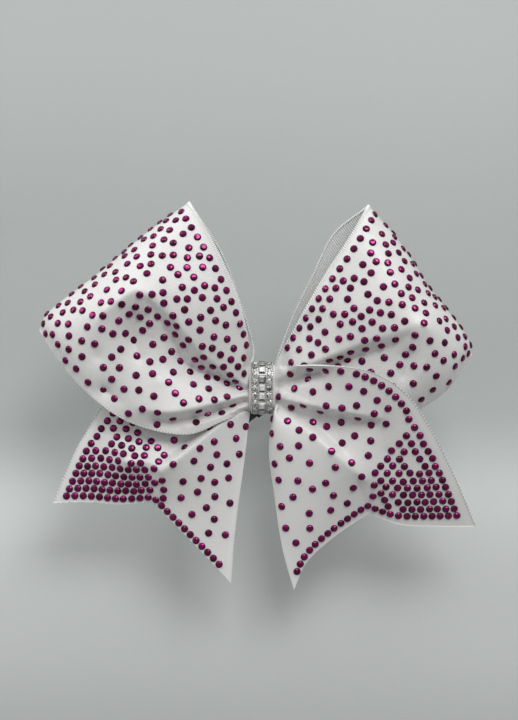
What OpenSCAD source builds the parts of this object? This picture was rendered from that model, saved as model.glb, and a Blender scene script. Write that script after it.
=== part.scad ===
// Cheer hair bow: one wide ribbon crossed into two loops and two swallow tails,
// pinched by a thread, wrapped, banded with crystals and carried on a hair elastic.
// Origin on the flat back of the elastic's keeper, +Z up, the back of the wearer's head towards +Y.
// Every sub-part is first drawn round the centre of the knot and moved there at the end.
// Depth below always means distance from the knot towards the viewer, along -Y.

/* [Ribbon] */
// Width of the ribbon
ribbon_w = 76; // [70:1:80]
// Thickness of the satin face
satin_t = 0.3; // [0.25:0.05:0.35]
// Thickness of the ribbed lining behind the satin
lining_t = 0.35; // [0.3:0.05:0.4]
// Grid cells along a loop, counting its front and its back
loop_cells = 34; // [24:2:40]
// Grid cells along a whole tail
tail_cells = 20; // [12:2:22]
// Grid cells across the ribbon
cross_cells = 16; // [12:4:20]

/* [Loops] */
// How far a loop's front swells from the chord of the loop
front_puff = 18; // [14:1:20]
// How far a loop's back swells from the chord of the loop
back_puff = 13; // [9:1:14]
// Distance from the centre at which a moving loop starts
loop_root_x = 6.6; // [6.5:0.1:7]

/* [Tails] */
// Height of the line about which a tail's free end flexes
flex_z = -22; // [-23:0.5:-21]
// Clear slit at that line, which leaves the free end room to turn
flex_gap = 3; // [2.5:0.1:3.5]

// How far the right tail's upper edge is lifted over the right loop
tail_lift = 17; // [16.5:0.25:18]

/* [Stones] */
// Diameter of a flat-backed stone on the ribbon
stone_d = 2.9; // [2.7:0.1:3.1]
// Height of a stone above the satin
stone_h = 0.9; // [0.7:0.1:1.2]
// Distance of the first row of stones from a woven edge
edge_margin = 4.2; // [3.5:0.1:5]
// Distance of the first row of stones from a cut end
cut_margin = 2.6; // [2.2:0.1:3.2]

/* [Knot] */
// Half of the straight part of the knot's oval section
oval_half = 3.6; // [3.4:0.1:3.8]
// Radius of the pinched ribbon's oval section
core_r = 4; // [3.8:0.1:4.1]
// Length of the pinched ribbon along X
core_len = 12; // [11.6:0.1:12.4]
// Diameter of the cinch thread
thread_d = 0.8; // [0.6:0.1:0.8]
// Turns of the cinch thread
thread_turns = 5; // [3:1:7]
// Width of the wrap over the knot
wrap_w = 10; // [9.6:0.1:10.2]
// Thickness of the wrap
wrap_t = 0.5; // [0.4:0.05:0.5]
// Width of the crystal banding
band_w = 8.5; // [8.4:0.1:8.8]
// Thickness of the banding's metal
band_t = 1; // [0.9:0.05:1]
// Side of a square crystal
baguette = 2.9; // [2.8:0.05:2.95]
// Distance between square crystals along the banding
baguette_pitch = 3.3; // [3.2:0.05:3.4]
// Diameter of a round crystal
round_d = 2.3; // [2.1:0.05:2.35]
// Distance between round crystals along the banding
round_pitch = 2.7; // [2.6:0.05:2.8]

/* [Hair elastic] */
// Diameter of the elastic cord
cord_d = 4.6; // [4:0.1:4.6]
// Radius of the elastic's round ends, at the cord's centre
cord_bend = 17; // [16:1:20]
// Length of the elastic's straight runs
cord_run = 14; // [13:1:18]
// Radial clearance of the cord in its keeper
cord_clear = 0.05; // [0.03:0.01:0.08]
// Lean of the elastic seen from the front
cord_lean = 37; // [30:1:40]
// Height of the cord where it passes behind the knot
cord_z = -7.2; // [-7.5:0.1:-6.5]
// Length of the keeper along the cord
keeper_len = 8; // [7:0.5:9]

/* [Hidden] */
white = "white";
off_white = "whitesmoke";
fuchsia = [0.66, 0.05, 0.42];
silver = "silver";
crystal = [0.88, 0.93, 0.97];
black = [0.06, 0.06, 0.06];
$fn = 48;

root_half = oval_half + core_r - 0.2;
tail_root_x = core_len / 2 + 0.4;
thread_r = core_r + 0.05 + thread_d / 2;
wrap_in = core_r + thread_d + 0.1;
wrap_out = wrap_in + wrap_t;
band_out = wrap_out + band_t;
lap_t = wrap_t;
bore_r = cord_d / 2 + cord_clear;
keeper_foot = 0.8;
cord_y = wrap_out + lap_t + keeper_foot + bore_r;
keeper_back = 0.8;
stone_sink = 0.03;
covered_z = -11;
golden = [0.7548776662, 0.5698402910];

// ---------- curves ----------
function lerp(a, b, t) = a + (b - a) * t;
function clamp(t) = min(max(t, 0), 1);
function smooth(t) = let (c = clamp(t)) c * c * (3 - 2 * c);
function frac(x) = x - floor(x);

// A smooth curve through every point of p, t from 0 to 1
function spline(p, t) =
    let (n = len(p) - 1, x = clamp(t) * n, i = min(floor(x), n - 1), f = x - i)
    let (b = p[i], c = p[i + 1])
    let (a = i > 0 ? p[i - 1] : 2 * b - c, d = i + 2 <= n ? p[i + 2] : 2 * c - b)
    0.5 * (2 * b + (c - a) * f + (2 * a - 5 * b + 4 * c - d) * f * f
        + (3 * b - a - 3 * c + d) * f * f * f);

// Straight lines through every point of p, t from 0 to 1
function polyline(p, t) =
    let (n = len(p) - 1, x = clamp(t) * n, i = min(floor(x), n - 1))
    lerp(p[i], p[i + 1], x - i);

// A patch between a lower edge, an upper edge, a root line and an end line
function patch(low, up, root, end, u, w) =
    lerp(low, up, w) + lerp(root, end[0], u)
    - lerp(lerp(end[1], end[2], u), lerp(end[3], end[4], u), w);

// ---------- outlines, as [x, z] from the knot outwards ----------
// A panel is [lower edge, upper edge, far end from its lower to its upper corner]
left_front = [
    [[-loop_root_x, -root_half], [-24, -17.5], [-49, -14.5], [-73, 3], [-86.5, 22]],
    [[-loop_root_x, root_half], [-8.2, 33], [-15, 55], [-28.5, 71.8]],
    [[-86.5, 22], [-83, 30], [-63.7, 45], [-45, 60.5], [-28.5, 71.8]]];
left_back = [
    [[-loop_root_x, -root_half], [-32, -9], [-60, 1], [-86.5, 22]],
    [[-loop_root_x, root_half], [-6.5, 33], [-12.5, 55], [-28.5, 71.8]],
    left_front[2]];
right_front = [
    [[loop_root_x, -root_half], [24, -14], [46, -14], [68, -4], [81.5, 13]],
    [[loop_root_x, root_half], [17.2, 35], [29.5, 54], [41.5, 71.5]],
    [[81.5, 13], [78.5, 21.5], [66, 38], [53.5, 57.5], [41.5, 71.5]]];
right_back = [
    [[loop_root_x, -root_half], [32, -7], [58, 0], [81.5, 13]],
    [[loop_root_x, root_half], [15.2, 37.5], [25.5, 57], [41.5, 71.5]],
    right_front[2]];
left_tail = [
    [[-tail_root_x, -root_half], [-7.6, -31], [-9.8, -53], [-12, -76]],
    [[-tail_root_x, root_half], [-33, 8], [-56, -3], [-69, -22], [-81.5, -45]],
    [[-12, -76], [-43, -43.8], [-81.5, -45]]];
right_tail = [
    [[tail_root_x, -root_half], [3.8, -33], [6.8, -55], [12.6, -79]],
    [[tail_root_x, root_half], [34, 8.3], [57, -4], [69.5, -27], [83.5, -54]],
    [[12.6, -79], [41.5, -48.8], [83.5, -54]]];

function flat_point(p, u, w, pointed) =
    let (root = [p[0][0], p[1][0]], end = pointed ? polyline(p[2], w) : spline(p[2], w))
    patch(spline(p[0], u), spline(p[1], u), lerp(root[0], root[1], w),
        [end, root[0], p[0][len(p[0]) - 1], root[1], p[1][len(p[1]) - 1]], u, w);

// ---------- depths ----------
// Two ridges and three troughs across the ribbon, which is how a pinched ribbon gathers
function gathers(w) = -cos(720 * w) + 0.8 * pow(abs(2 * w - 1), 6);
// Height of those ridges along the ribbon: held flat at the pinch, strongest soon after it
function gather_depth(r, most, reach) =
    (1.1 + most * 6 * r) * pow(clamp(1 - r / reach), 1.5);
// How much a loop's swelling falls away towards its free edges
function edge_fall(w, low, up) =
    1 - (w < 0.5 ? low : up) * pow(abs(2 * w - 1), 1.9);

// A point of a loop: u is 0 to 1 on the front, 1 to 2 on the back, 1 at the fold
function loop_point(front, back, layer, low, up, u, w) =
    let (r = sin(90 * min(u, 2 - u)), is_front = u <= 1)
    let (xz = flat_point(is_front ? front : back, r, w, false))
    let (puff = is_front ? front_puff : back_puff)
    let (swell = abs(sin(180 * u)) * puff * edge_fall(w, low, up))
    let (pleat = gathers(w) * gather_depth(r, is_front ? 3.4 : 1.5, 0.8))
    let (depth = lerp(is_front ? layer[0] : layer[1], 0, r) + (is_front ? swell : -swell) + pleat)
    [xz[0], -depth, xz[1]];

function left_loop_point(u, w) = loop_point(left_front, left_back, [3.2, -3], 0.42, 0.45, u, w);
function right_loop_point(u, w) = loop_point(right_front, right_back, [0.2, -3], 0.85, 0.45, u, w);

// The left tail runs between the two sides of the left loop
function left_tail_point(u, w) =
    let (xz = flat_point(left_tail, u, w, true))
    let (depth = lerp(0.2, 2, u) + gathers(w) * gather_depth(u, lerp(1.6, 0.4, w), 0.85))
    [xz[0], -depth, xz[1]];

// The right tail lies in front of the right loop, so its upper edge is lifted over it
function right_tail_point(u, w) =
    let (xz = flat_point(right_tail, u, w, true))
    let (depth = lerp(3.2, 1.5, u) + gathers(w) * gather_depth(u, 1.6, 0.85)
        + tail_lift * pow(w, 0.7) * sin(180 * pow(clamp(u), 0.6)))
    [xz[0], -depth, xz[1]];

function point(name, u, w) =
    name == "left_loop" ? left_loop_point(u, w) :
    name == "right_loop" ? right_loop_point(u, w) :
    name == "left_tail" ? left_tail_point(u, w) : right_tail_point(u, w);

// Where the ribbon's line w crosses a given height on its way down a tail
function crossing(name, w, z, low = 0, high = 1, tries = 12) =
    tries == 0 ? (low + high) / 2 :
    let (mid = (low + high) / 2)
    point(name, mid, w)[2] > z ? crossing(name, w, z, mid, high, tries - 1)
        : crossing(name, w, z, low, mid, tries - 1);

// ---------- sheets ----------
function unit(v) = v / max(norm(v), 1e-9);

// The middle surface of a panel between two values of u, each of which may depend on w
function grid(name, starts, ends, cells) =
    [for (i = [0:cells]) [for (j = [0:cross_cells])
        point(name, lerp(starts[j], ends[j], i / cells), j / cross_cells)]];

function normal_at(g, i, j) =
    let (n = len(g) - 1, m = len(g[0]) - 1)
    unit(cross(g[min(i + 1, n)][j] - g[max(i - 1, 0)][j], g[i][min(j + 1, m)] - g[i][max(j - 1, 0)]));

// A closed sheet between two distances from the grid, measured along its normals
module sheet(g, near, far) {
    n = len(g);
    m = len(g[0]);
    function at(side, i, j) = (side * n + i) * m + j;
    points = [for (h = [near, far]) for (i = [0:n - 1]) for (j = [0:m - 1]) g[i][j] + h * normal_at(g, i, j)];
    skins = [for (i = [0:n - 2]) for (j = [0:m - 2]) each [
        [at(0, i, j), at(0, i + 1, j), at(0, i + 1, j + 1)], [at(0, i, j), at(0, i + 1, j + 1), at(0, i, j + 1)],
        [at(1, i, j), at(1, i + 1, j + 1), at(1, i + 1, j)], [at(1, i, j), at(1, i, j + 1), at(1, i + 1, j + 1)]]];
    rim = concat([for (j = [0:m - 1]) [0, j]], [for (i = [1:n - 1]) [i, m - 1]],
        [for (j = [m - 2:-1:0]) [n - 1, j]], [for (i = [n - 2:-1:1]) [i, 0]]);
    walls = [for (k = [0:len(rim) - 1]) let (a = rim[k], b = rim[(k + 1) % len(rim)]) each [
        [at(0, a[0], a[1]), at(0, b[0], b[1]), at(1, b[0], b[1])],
        [at(0, a[0], a[1]), at(1, b[0], b[1]), at(1, a[0], a[1])]]];
    polyhedron(points, concat(skins, walls));
}

function all_across(value) = [for (j = [0:cross_cells]) value];
function flex_line(name, shift) = [for (j = [0:cross_cells]) crossing(name, j / cross_cells, flex_z + shift)];

function loop_grid(name) = grid(name, all_across(0), all_across(2), loop_cells);
function neck_grid(name) = grid(name, all_across(0), flex_line(name, flex_gap / 2), tail_cells / 2);
function free_grid(name) = grid(name, flex_line(name, -flex_gap / 2), all_across(1), tail_cells / 2);

// The normals of a panel point to its face on the left of the bow and to its back on the right
function facing(name) = name == "left_loop" || name == "left_tail" ? -1 : 1;
function is_loop(name) = name == "left_loop" || name == "right_loop";

module satin(name, g) color(white) sheet(g, facing(name) > 0 ? 0 : -satin_t, facing(name) > 0 ? satin_t : 0);
module lining(name, g) color(off_white) sheet(g, facing(name) > 0 ? -lining_t : 0, facing(name) > 0 ? 0 : lining_t);

// ---------- stones ----------
// Length of a panel's middle line
loop_len = 88;
tail_len = 66;

// A stone's place: u, w and its point in space
function place(name, u, w) = [u, w, point(name, u, w)];

// Distance wanted between stones: close at the outer corners, loose towards the knot
function stone_gap(name, p) = let (x = abs(p[2][0]), z = p[2][2])
    is_loop(name) ? lerp(5.8, 3.9, max(smooth(1.7 * p[1]), smooth((p[0] - 0.45) / 0.4)))
    : name == "left_tail" ? lerp(5.2, lerp(3.1, 3.9, smooth((z + 32) / 14)), smooth((x - 32) / 14))
    : lerp(5.6, lerp(3.1, 4.1, smooth((z + 34) / 24)), smooth((x - 22) / 38));

// Adds the places of a list that keep a gap, or the gap wanted there, from every stone so far
function added(name, placed, offers, fixed_gap = 0) =
    [for (i = -1, s = placed; i < len(offers);
        i = i + 1,
        s = let (p = offers[min(i, len(offers) - 1)], gap = fixed_gap > 0 ? fixed_gap : stone_gap(name, p))
            i < len(offers) && len([for (q = s) if (norm(p[2] - q[2]) < gap) 1]) == 0 ? concat(s, [p]) : s)
        if (i == len(offers) - 1) each s];

// An even, unstructured sequence of places
function scattered(name, far, most) = [for (i = [1:most])
    place(name, lerp(0.06, far, frac(0.5 + golden[0] * i)),
        lerp(edge_margin / ribbon_w, 1 - edge_margin / ribbon_w, frac(0.5 + golden[1] * i)))];

// Close rows of places along the outer edge and across the ribbon at a distance from the cut end
function edge_row(name, from, to, steps = 200) =
    [for (k = [0:steps]) place(name, lerp(to, from, k / steps), 1 - edge_margin / ribbon_w)];
function cross_row(name, inset, steps = 160) = [for (k = [0:steps])
    place(name, 1 - inset / tail_len, lerp(1 - edge_margin / ribbon_w, edge_margin / ribbon_w, k / steps))];

function stones(name) = is_loop(name)
    ? added(name, added(name, [], edge_row(name, 0.12, 0.95), 4.7), scattered(name, 0.96, 1800))
    : added(name, added(name, added(name, [], cross_row(name, cut_margin), 3.1), edge_row(name, 0.3, 0.95), 3.3),
        concat([for (k = [1:12]) each cross_row(name, cut_margin + 2.75 * k)],
            scattered(name, 1 - cut_margin / tail_len, 2500)));

// A place on the flat triangles of a grid, x cells along and y cells across
function on_grid(g, x, y) =
    let (i = max(min(floor(x), len(g) - 2), 0), j = max(min(floor(y), len(g[0]) - 2), 0), f = x - i, h = y - j)
    let (a = g[i][j], b = g[i + 1][j + 1])
    f >= h ? a + f * (g[i + 1][j] - a) + h * (b - g[i + 1][j])
        : a + h * (g[i][j + 1] - a) + f * (b - g[i][j + 1]);

// One stone on the satin of a grid, x cells along and y cells across. In a crease its flat
// back bears on its rim, so it stands higher by the height of the crease's sides
module stone(name, g, x, y) {
    c = on_grid(g, x, y);
    along = on_grid(g, x + 0.3, y) - on_grid(g, x - 0.3, y);
    side = on_grid(g, x, y + 0.3) - on_grid(g, x, y - 0.3);
    n = facing(name) * unit(cross(along, side));
    a = unit(cross(side, n));
    t = cross(n, a);
    reach = 0.3 * stone_d;
    rim = [for (k = [0:45:315])
        n * (on_grid(g, x + reach / norm(along) * cos(k), y + reach / norm(side) * sin(k)) - c)];
    o = c + n * (satin_t - stone_sink + max(0, max(rim)));
    multmatrix([
        [a[0], t[0], n[0], o[0]],
        [a[1], t[1], n[1], o[1]],
        [a[2], t[2], n[2], o[2]],
        [0, 0, 0, 1]]) cylinder(h = stone_h + stone_sink, d = stone_d, $fn = 8);
}

module loop_set(name) color(fuchsia) {
    g = loop_grid(name);
    for (p = stones(name)) stone(name, g, p[0] / 2 * loop_cells, p[1] * cross_cells);
}

// The stones of a tail on one side of the flex line; the slit itself holds none, and neither
// does the part of the left tail that the left loop covers
module tail_set(name, is_neck) color(fuchsia) {
    room = (flex_gap + stone_d) / 2 + 0.3;
    g = is_neck ? neck_grid(name) : free_grid(name);
    ends = flex_line(name, (is_neck ? 1 : -1) * flex_gap / 2);
    for (p = stones(name)) {
        z = p[2][2];
        y = p[1] * cross_cells;
        end = lerp(ends[floor(y)], ends[floor(y) + 1], y - floor(y));
        x = (is_neck ? p[0] / end : (p[0] - end) / (1 - end)) * tail_cells / 2;
        is_open = name != "left_tail" || z < covered_z;
        is_roomy = p[0] > lerp(0.25, 0.09, p[1]);
        if (is_neck ? z > flex_z + room && is_roomy && is_open : z < flex_z - room)
            stone(name, g, x, y);
    }
}

// ---------- knot ----------
module oval(r) {
    for (z = [-oval_half, oval_half]) translate([z, 0]) circle(r);
    square([2 * oval_half, 2 * r], center = true);
}

// An oval solid along X, with its long side along Z
module oval_bar(r, length) rotate([0, -90, 0]) linear_extrude(length, center = true) oval(r);

module oval_ring(r_in, r_out, length) difference() {
    oval_bar(r_out, length);
    oval_bar(r_in, length + 1);
}

// Three passes of the ribbon, each folded like a fan, crushed into the knot's oval
module pleated_core() {
    folds = 7;
    pass_depth = 2 * core_r / 3;
    sheet_t = satin_t + lining_t;
    top = oval_half + core_r;
    color(white) intersection() {
        oval_bar(core_r - 0.02, core_len);
        for (pass = [-1:1]) rotate([0, -90, 0]) linear_extrude(core_len + 1, center = true) {
            ridge = [for (k = [0:folds]) [lerp(-top, top, k / folds),
                pass * pass_depth + (k % 2 == 0 ? 1 : -1) * (pass_depth - sheet_t - 0.1) / 2]];
            polygon(concat([for (q = ridge) q + [0, sheet_t / 2]],
                [for (k = [folds:-1:0]) ridge[k] - [0, sheet_t / 2]]));
        }
    }
}

// One turn of thread round the core
module thread_turn() {
    for (side = [-1, 1]) translate([0, 0, side * oval_half]) rotate([0, 90, 0])
        rotate([0, 0, side > 0 ? 90 : -90]) rotate_extrude(angle = 180) translate([thread_r, 0]) circle(d = thread_d);
    for (side = [-1, 1]) translate([0, side * thread_r, 0]) cylinder(h = 2 * oval_half, d = thread_d, center = true);
}

module cinch_thread() color(off_white) for (k = [0:thread_turns - 1])
    translate([(k - (thread_turns - 1) / 2) * (thread_d + 0.05), 0, 0]) thread_turn();

module centre_wrap() color(white) {
    oval_ring(wrap_in, wrap_out, wrap_w);
    translate([-wrap_w / 2, wrap_out - 0.05, -oval_half]) cube([wrap_w, lap_t + 0.05, 2 * oval_half]);
}

// Moves its children to distance s along the outside of the wrap, counted from the middle of the front
module on_band(s) {
    arc = 90 * PI / 180 * 2 * wrap_out;
    over = abs(s) - oval_half;
    a = over > 0 ? min(over / wrap_out * 180 / PI, 180) : 0;
    side = s < 0 ? -1 : 1;
    translate([0, -wrap_out * cos(a), side * (min(abs(s), oval_half) + wrap_out * sin(a))])
        rotate([90 - side * a, 0, 0]) children();
}

// Positions of a row of crystals that spans the banding
function band_reach() = oval_half + wrap_out * PI / 180 * 125;
function band_row(pitch) = let (n = floor((band_reach() - pitch / 2) / pitch)) [for (k = [-n:n]) k * pitch];

module square_crystal(grow = 0) translate([0, 0, band_t / 2 + 0.1 + grow])
    cube([baguette + 2 * grow, baguette + 2 * grow, band_t + 2 * grow], center = true);
module round_crystal(grow = 0) translate([0, 0, 0.1]) cylinder(h = band_t + 2 * grow, d = round_d + 2 * grow);
module rounds(grow = 0) for (x = [-1, 1]) for (s = band_row(round_pitch))
    on_band(s) translate([x * (baguette + round_d + 0.5) / 2, 0, 0]) round_crystal(grow);

module band_setting() color(silver) difference() {
    oval_ring(wrap_out, band_out, band_w);
    translate([-band_w, wrap_out * 0.57, -50]) cube([2 * band_w, 50, 100]);
    for (s = band_row(baguette_pitch)) on_band(s) square_crystal(0.03);
    rounds(0.03);
}

module band_square_crystals() color(crystal) for (s = band_row(baguette_pitch)) on_band(s) square_crystal();
module band_round_crystals() color(crystal) rounds();

// ---------- hair elastic ----------
// The elastic's own frame: X along the cord where its keeper holds it, Y backwards
module elastic_frame() translate([0, cord_y, cord_z]) rotate([0, -cord_lean, 0]) children();

// A tape loop glued to the wrap's back, with a flat back that rests on the hair
module elastic_keeper() color(black) elastic_frame() difference() {
    translate([-keeper_len / 2, -bore_r - keeper_foot, -bore_r - 0.7])
        cube([keeper_len, 2 * bore_r + keeper_foot + keeper_back, 2 * bore_r + 3.4]);
    rotate([0, 90, 0]) cylinder(h = keeper_len + 1, r = bore_r, center = true);
}

module elastic_cord() color(black) elastic_frame() {
    for (y = [0, 2 * cord_bend]) translate([0, y, 0]) rotate([0, 90, 0])
        cylinder(h = cord_run, d = cord_d, center = true);
    for (side = [-1, 1]) translate([side * cord_run / 2, cord_bend, 0])
        rotate([0, 0, side > 0 ? -90 : 90]) rotate_extrude(angle = 180) translate([cord_bend, 0]) circle(d = cord_d);
}

// The moulded sleeve where the cord's two ends meet, opposite the keeper
module elastic_join() color(black) elastic_frame() translate([0, 2 * cord_bend, 0]) rotate([0, 90, 0]) difference() {
    cylinder(h = 7, d = cord_d + 1.2, center = true);
    cylinder(h = 8, d = cord_d, center = true);
}

translate([0, -(cord_y + bore_r + keeper_back), -cord_z]) {
    pleated_core();
    cinch_thread();
    centre_wrap();
    band_setting();
    band_square_crystals();
    band_round_crystals();
    elastic_keeper();
    elastic_cord();
    elastic_join();
    for (name = ["left_loop", "right_loop"]) {
        satin(name, loop_grid(name));
        lining(name, loop_grid(name));
        loop_set(name);
    }
    for (name = ["left_tail", "right_tail"]) {
        satin(name, neck_grid(name));
        lining(name, neck_grid(name));
        tail_set(name, true);
        satin(name, free_grid(name));
        lining(name, free_grid(name));
        tail_set(name, false);
    }
}
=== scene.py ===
import math

import bpy
import numpy as np
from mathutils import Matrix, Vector


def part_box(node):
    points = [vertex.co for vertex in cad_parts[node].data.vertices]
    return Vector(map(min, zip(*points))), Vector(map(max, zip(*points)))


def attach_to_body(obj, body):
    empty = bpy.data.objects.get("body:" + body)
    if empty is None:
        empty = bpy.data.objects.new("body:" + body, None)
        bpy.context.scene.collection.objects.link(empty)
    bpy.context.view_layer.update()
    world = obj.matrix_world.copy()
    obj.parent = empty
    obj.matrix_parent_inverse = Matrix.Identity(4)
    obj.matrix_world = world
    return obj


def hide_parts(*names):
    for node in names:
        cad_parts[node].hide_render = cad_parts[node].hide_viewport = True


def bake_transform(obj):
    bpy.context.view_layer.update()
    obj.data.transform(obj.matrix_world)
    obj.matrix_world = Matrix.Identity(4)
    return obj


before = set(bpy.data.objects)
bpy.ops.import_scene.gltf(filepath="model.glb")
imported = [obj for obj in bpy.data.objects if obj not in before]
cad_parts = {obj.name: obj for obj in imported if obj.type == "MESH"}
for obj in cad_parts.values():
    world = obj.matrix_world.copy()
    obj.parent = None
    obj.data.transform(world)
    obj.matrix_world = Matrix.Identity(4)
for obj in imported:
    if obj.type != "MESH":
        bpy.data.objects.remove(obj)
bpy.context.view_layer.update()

# Everything is designed in millimetres about the knot's centre, and turned to metres when a mesh is made.
# A surface point is (x, depth, z), where depth is the distance towards the camera, so y = -depth.
MM = 0.001
core_low, core_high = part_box("pleated_core")
KNOT = tuple((a + b) / 2 / MM for a, b in zip(core_low, core_high))
LOOPS = ("left_loop", "right_loop")
TAILS = ("left_tail", "right_tail")

# The ribbon: a satin face with a ribbed lining behind it
RIBBON_W = 76.0
SATIN_T = 0.3
LINING_T = 0.35
# Ribbon coordinates, along and across it, count in tenths of a metre
UV_UNIT = 100.0
# Where the ribbon leaves the knot, and the oval of the wrap that holds it there
ROOT_X = 4.7
ROOT_HALF = 8.2
WRAP_HALF = 3.6
WRAP_IN = 4.9
# Depth of each pass of the ribbon in the knot
PASS_DEPTH = {"left_loop": 3.2, "right_loop": 0.2, "left_tail": 0.2, "right_tail": 3.2}
BACK_DEPTH = -3.0
# How far a loop swells in front and behind, and how much of that is gone at its lower and upper border
FRONT_PUFF = 18.0
BACK_PUFF = 13.0
EDGE_FALL = {"left_loop": (0.42, 0.45), "right_loop": (0.85, 0.45)}
# How far the right tail is lifted over the right loop, and the depth of the tails at their cut ends
TAIL_LIFT = 17.0
CUT_DEPTH = {"left_tail": 2.0, "right_tail": 1.5}
rng = np.random.default_rng(7)


# ---------- curves ----------
def lerp(a, b, t):
    return a + (b - a) * t


def smooth(t):
    t = np.clip(t, 0, 1)
    return t * t * (3 - 2 * t)


def spline(points, t):
    """A smooth curve through every point, t from 0 to 1."""
    p = np.asarray(points, float)
    n = len(p) - 1
    x = np.clip(t, 0, 1) * n
    i = np.minimum(np.floor(x).astype(int), n - 1)
    f = (x - i)[..., None]
    b, c = p[i], p[i + 1]
    a = np.where((i > 0)[..., None], p[np.maximum(i - 1, 0)], 2 * b - c)
    d = np.where((i + 2 <= n)[..., None], p[np.minimum(i + 2, n)], 2 * c - b)
    return 0.5 * (2 * b + (c - a) * f + (2 * a - 5 * b + 4 * c - d) * f * f
                  + (3 * b - a - 3 * c + d) * f ** 3)


def notched(points, t):
    """A smooth line with a sharp corner at its middle point."""
    middle = len(points) // 2
    low = spline(points[:middle + 1], np.clip(2 * t, 0, 1))
    high = spline(points[middle:], np.clip(2 * t - 1, 0, 1))
    return np.where((t < 0.5)[..., None], low, high)


def patch(low, up, end, u, w, end_line=None):
    """A flat patch between a lower edge, an upper edge and a far end, starting on a straight root."""
    end_line = end_line or spline
    u, w = np.broadcast_arrays(np.asarray(u, float), np.asarray(w, float))
    uu, ww = u[..., None], w[..., None]
    r0, r1 = np.array(low[0], float), np.array(up[0], float)
    e0, e1 = np.array(low[-1], float), np.array(up[-1], float)
    return (lerp(spline(low, u), spline(up, u), ww) + lerp(lerp(r0, r1, ww), end_line(end, w), uu)
            - lerp(lerp(r0, e0, uu), lerp(r1, e1, uu), ww))


# ---------- outlines: lower edge, upper edge, far end ----------
LEFT_FRONT = (
    [(-ROOT_X, -ROOT_HALF), (-15.5, -12.8), (-28, -17.6), (-43, -15.6), (-58.1, -8.8), (-73, 4.6),
     (-86.6, 22.5)],
    [(-ROOT_X, ROOT_HALF), (-6.2, 22), (-10.5, 37.5), (-17.8, 54), (-28.4, 72.2)],
    [(-86.6, 22.5), (-82.5, 30), (-63.7, 44.6), (-45, 60.2), (-28.4, 72.2)])
LEFT_BACK = (
    [(-ROOT_X, -ROOT_HALF), (-32, -9), (-60, 1), (-86.6, 22.5)],
    [(-ROOT_X, ROOT_HALF), (-3.6, 16.5), (-9.5, 36), (-16.5, 54), (-28.4, 72.2)],
    LEFT_FRONT[2])
RIGHT_FRONT = (
    [(ROOT_X, -ROOT_HALF), (24, -14), (46, -15), (69.1, -2.9), (81.6, 13)],
    [(ROOT_X, ROOT_HALF), (14.1, 25.5), (23.2, 41.6), (32.2, 55.5), (41.4, 71)],
    [(81.6, 13), (79, 21), (65.3, 38.8), (53.3, 57), (41.4, 71)])
RIGHT_BACK = (
    [(ROOT_X, -ROOT_HALF), (32, -7), (58, 0), (81.6, 13)],
    [(ROOT_X, ROOT_HALF), (11.9, 27.3), (20.1, 44.2), (28.4, 60.6), (41.4, 71)],
    RIGHT_FRONT[2])
LEFT_TAIL = (
    [(-ROOT_X, -ROOT_HALF), (-6.9, -28), (-9.4, -46), (-11.1, -62), (-12, -75.8)],
    [(-ROOT_X, 6), (-33, 8), (-57, -2), (-69.8, -19.4), (-76, -31.8), (-81.6, -44.6)],
    [(-12, -75.8), (-22.3, -65), (-32.6, -54.4), (-42.8, -43.9), (-55, -45), (-68, -44.2),
     (-81.6, -44.6)])
RIGHT_TAIL = (
    [(ROOT_X, -ROOT_HALF), (2.9, -24), (4.9, -41.1), (8, -62), (12.4, -78.6)],
    [(ROOT_X, ROOT_HALF), (22, 8.9), (40, 6.7), (54, -1.3), (64.5, -15.5), (74.5, -34.3), (83.2, -53.9)],
    [(12.4, -78.6), (17.3, -67.9), (27, -58.6), (41.8, -48.4), (53, -52.9), (66.4, -53.8), (83.2, -53.9)])

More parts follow.
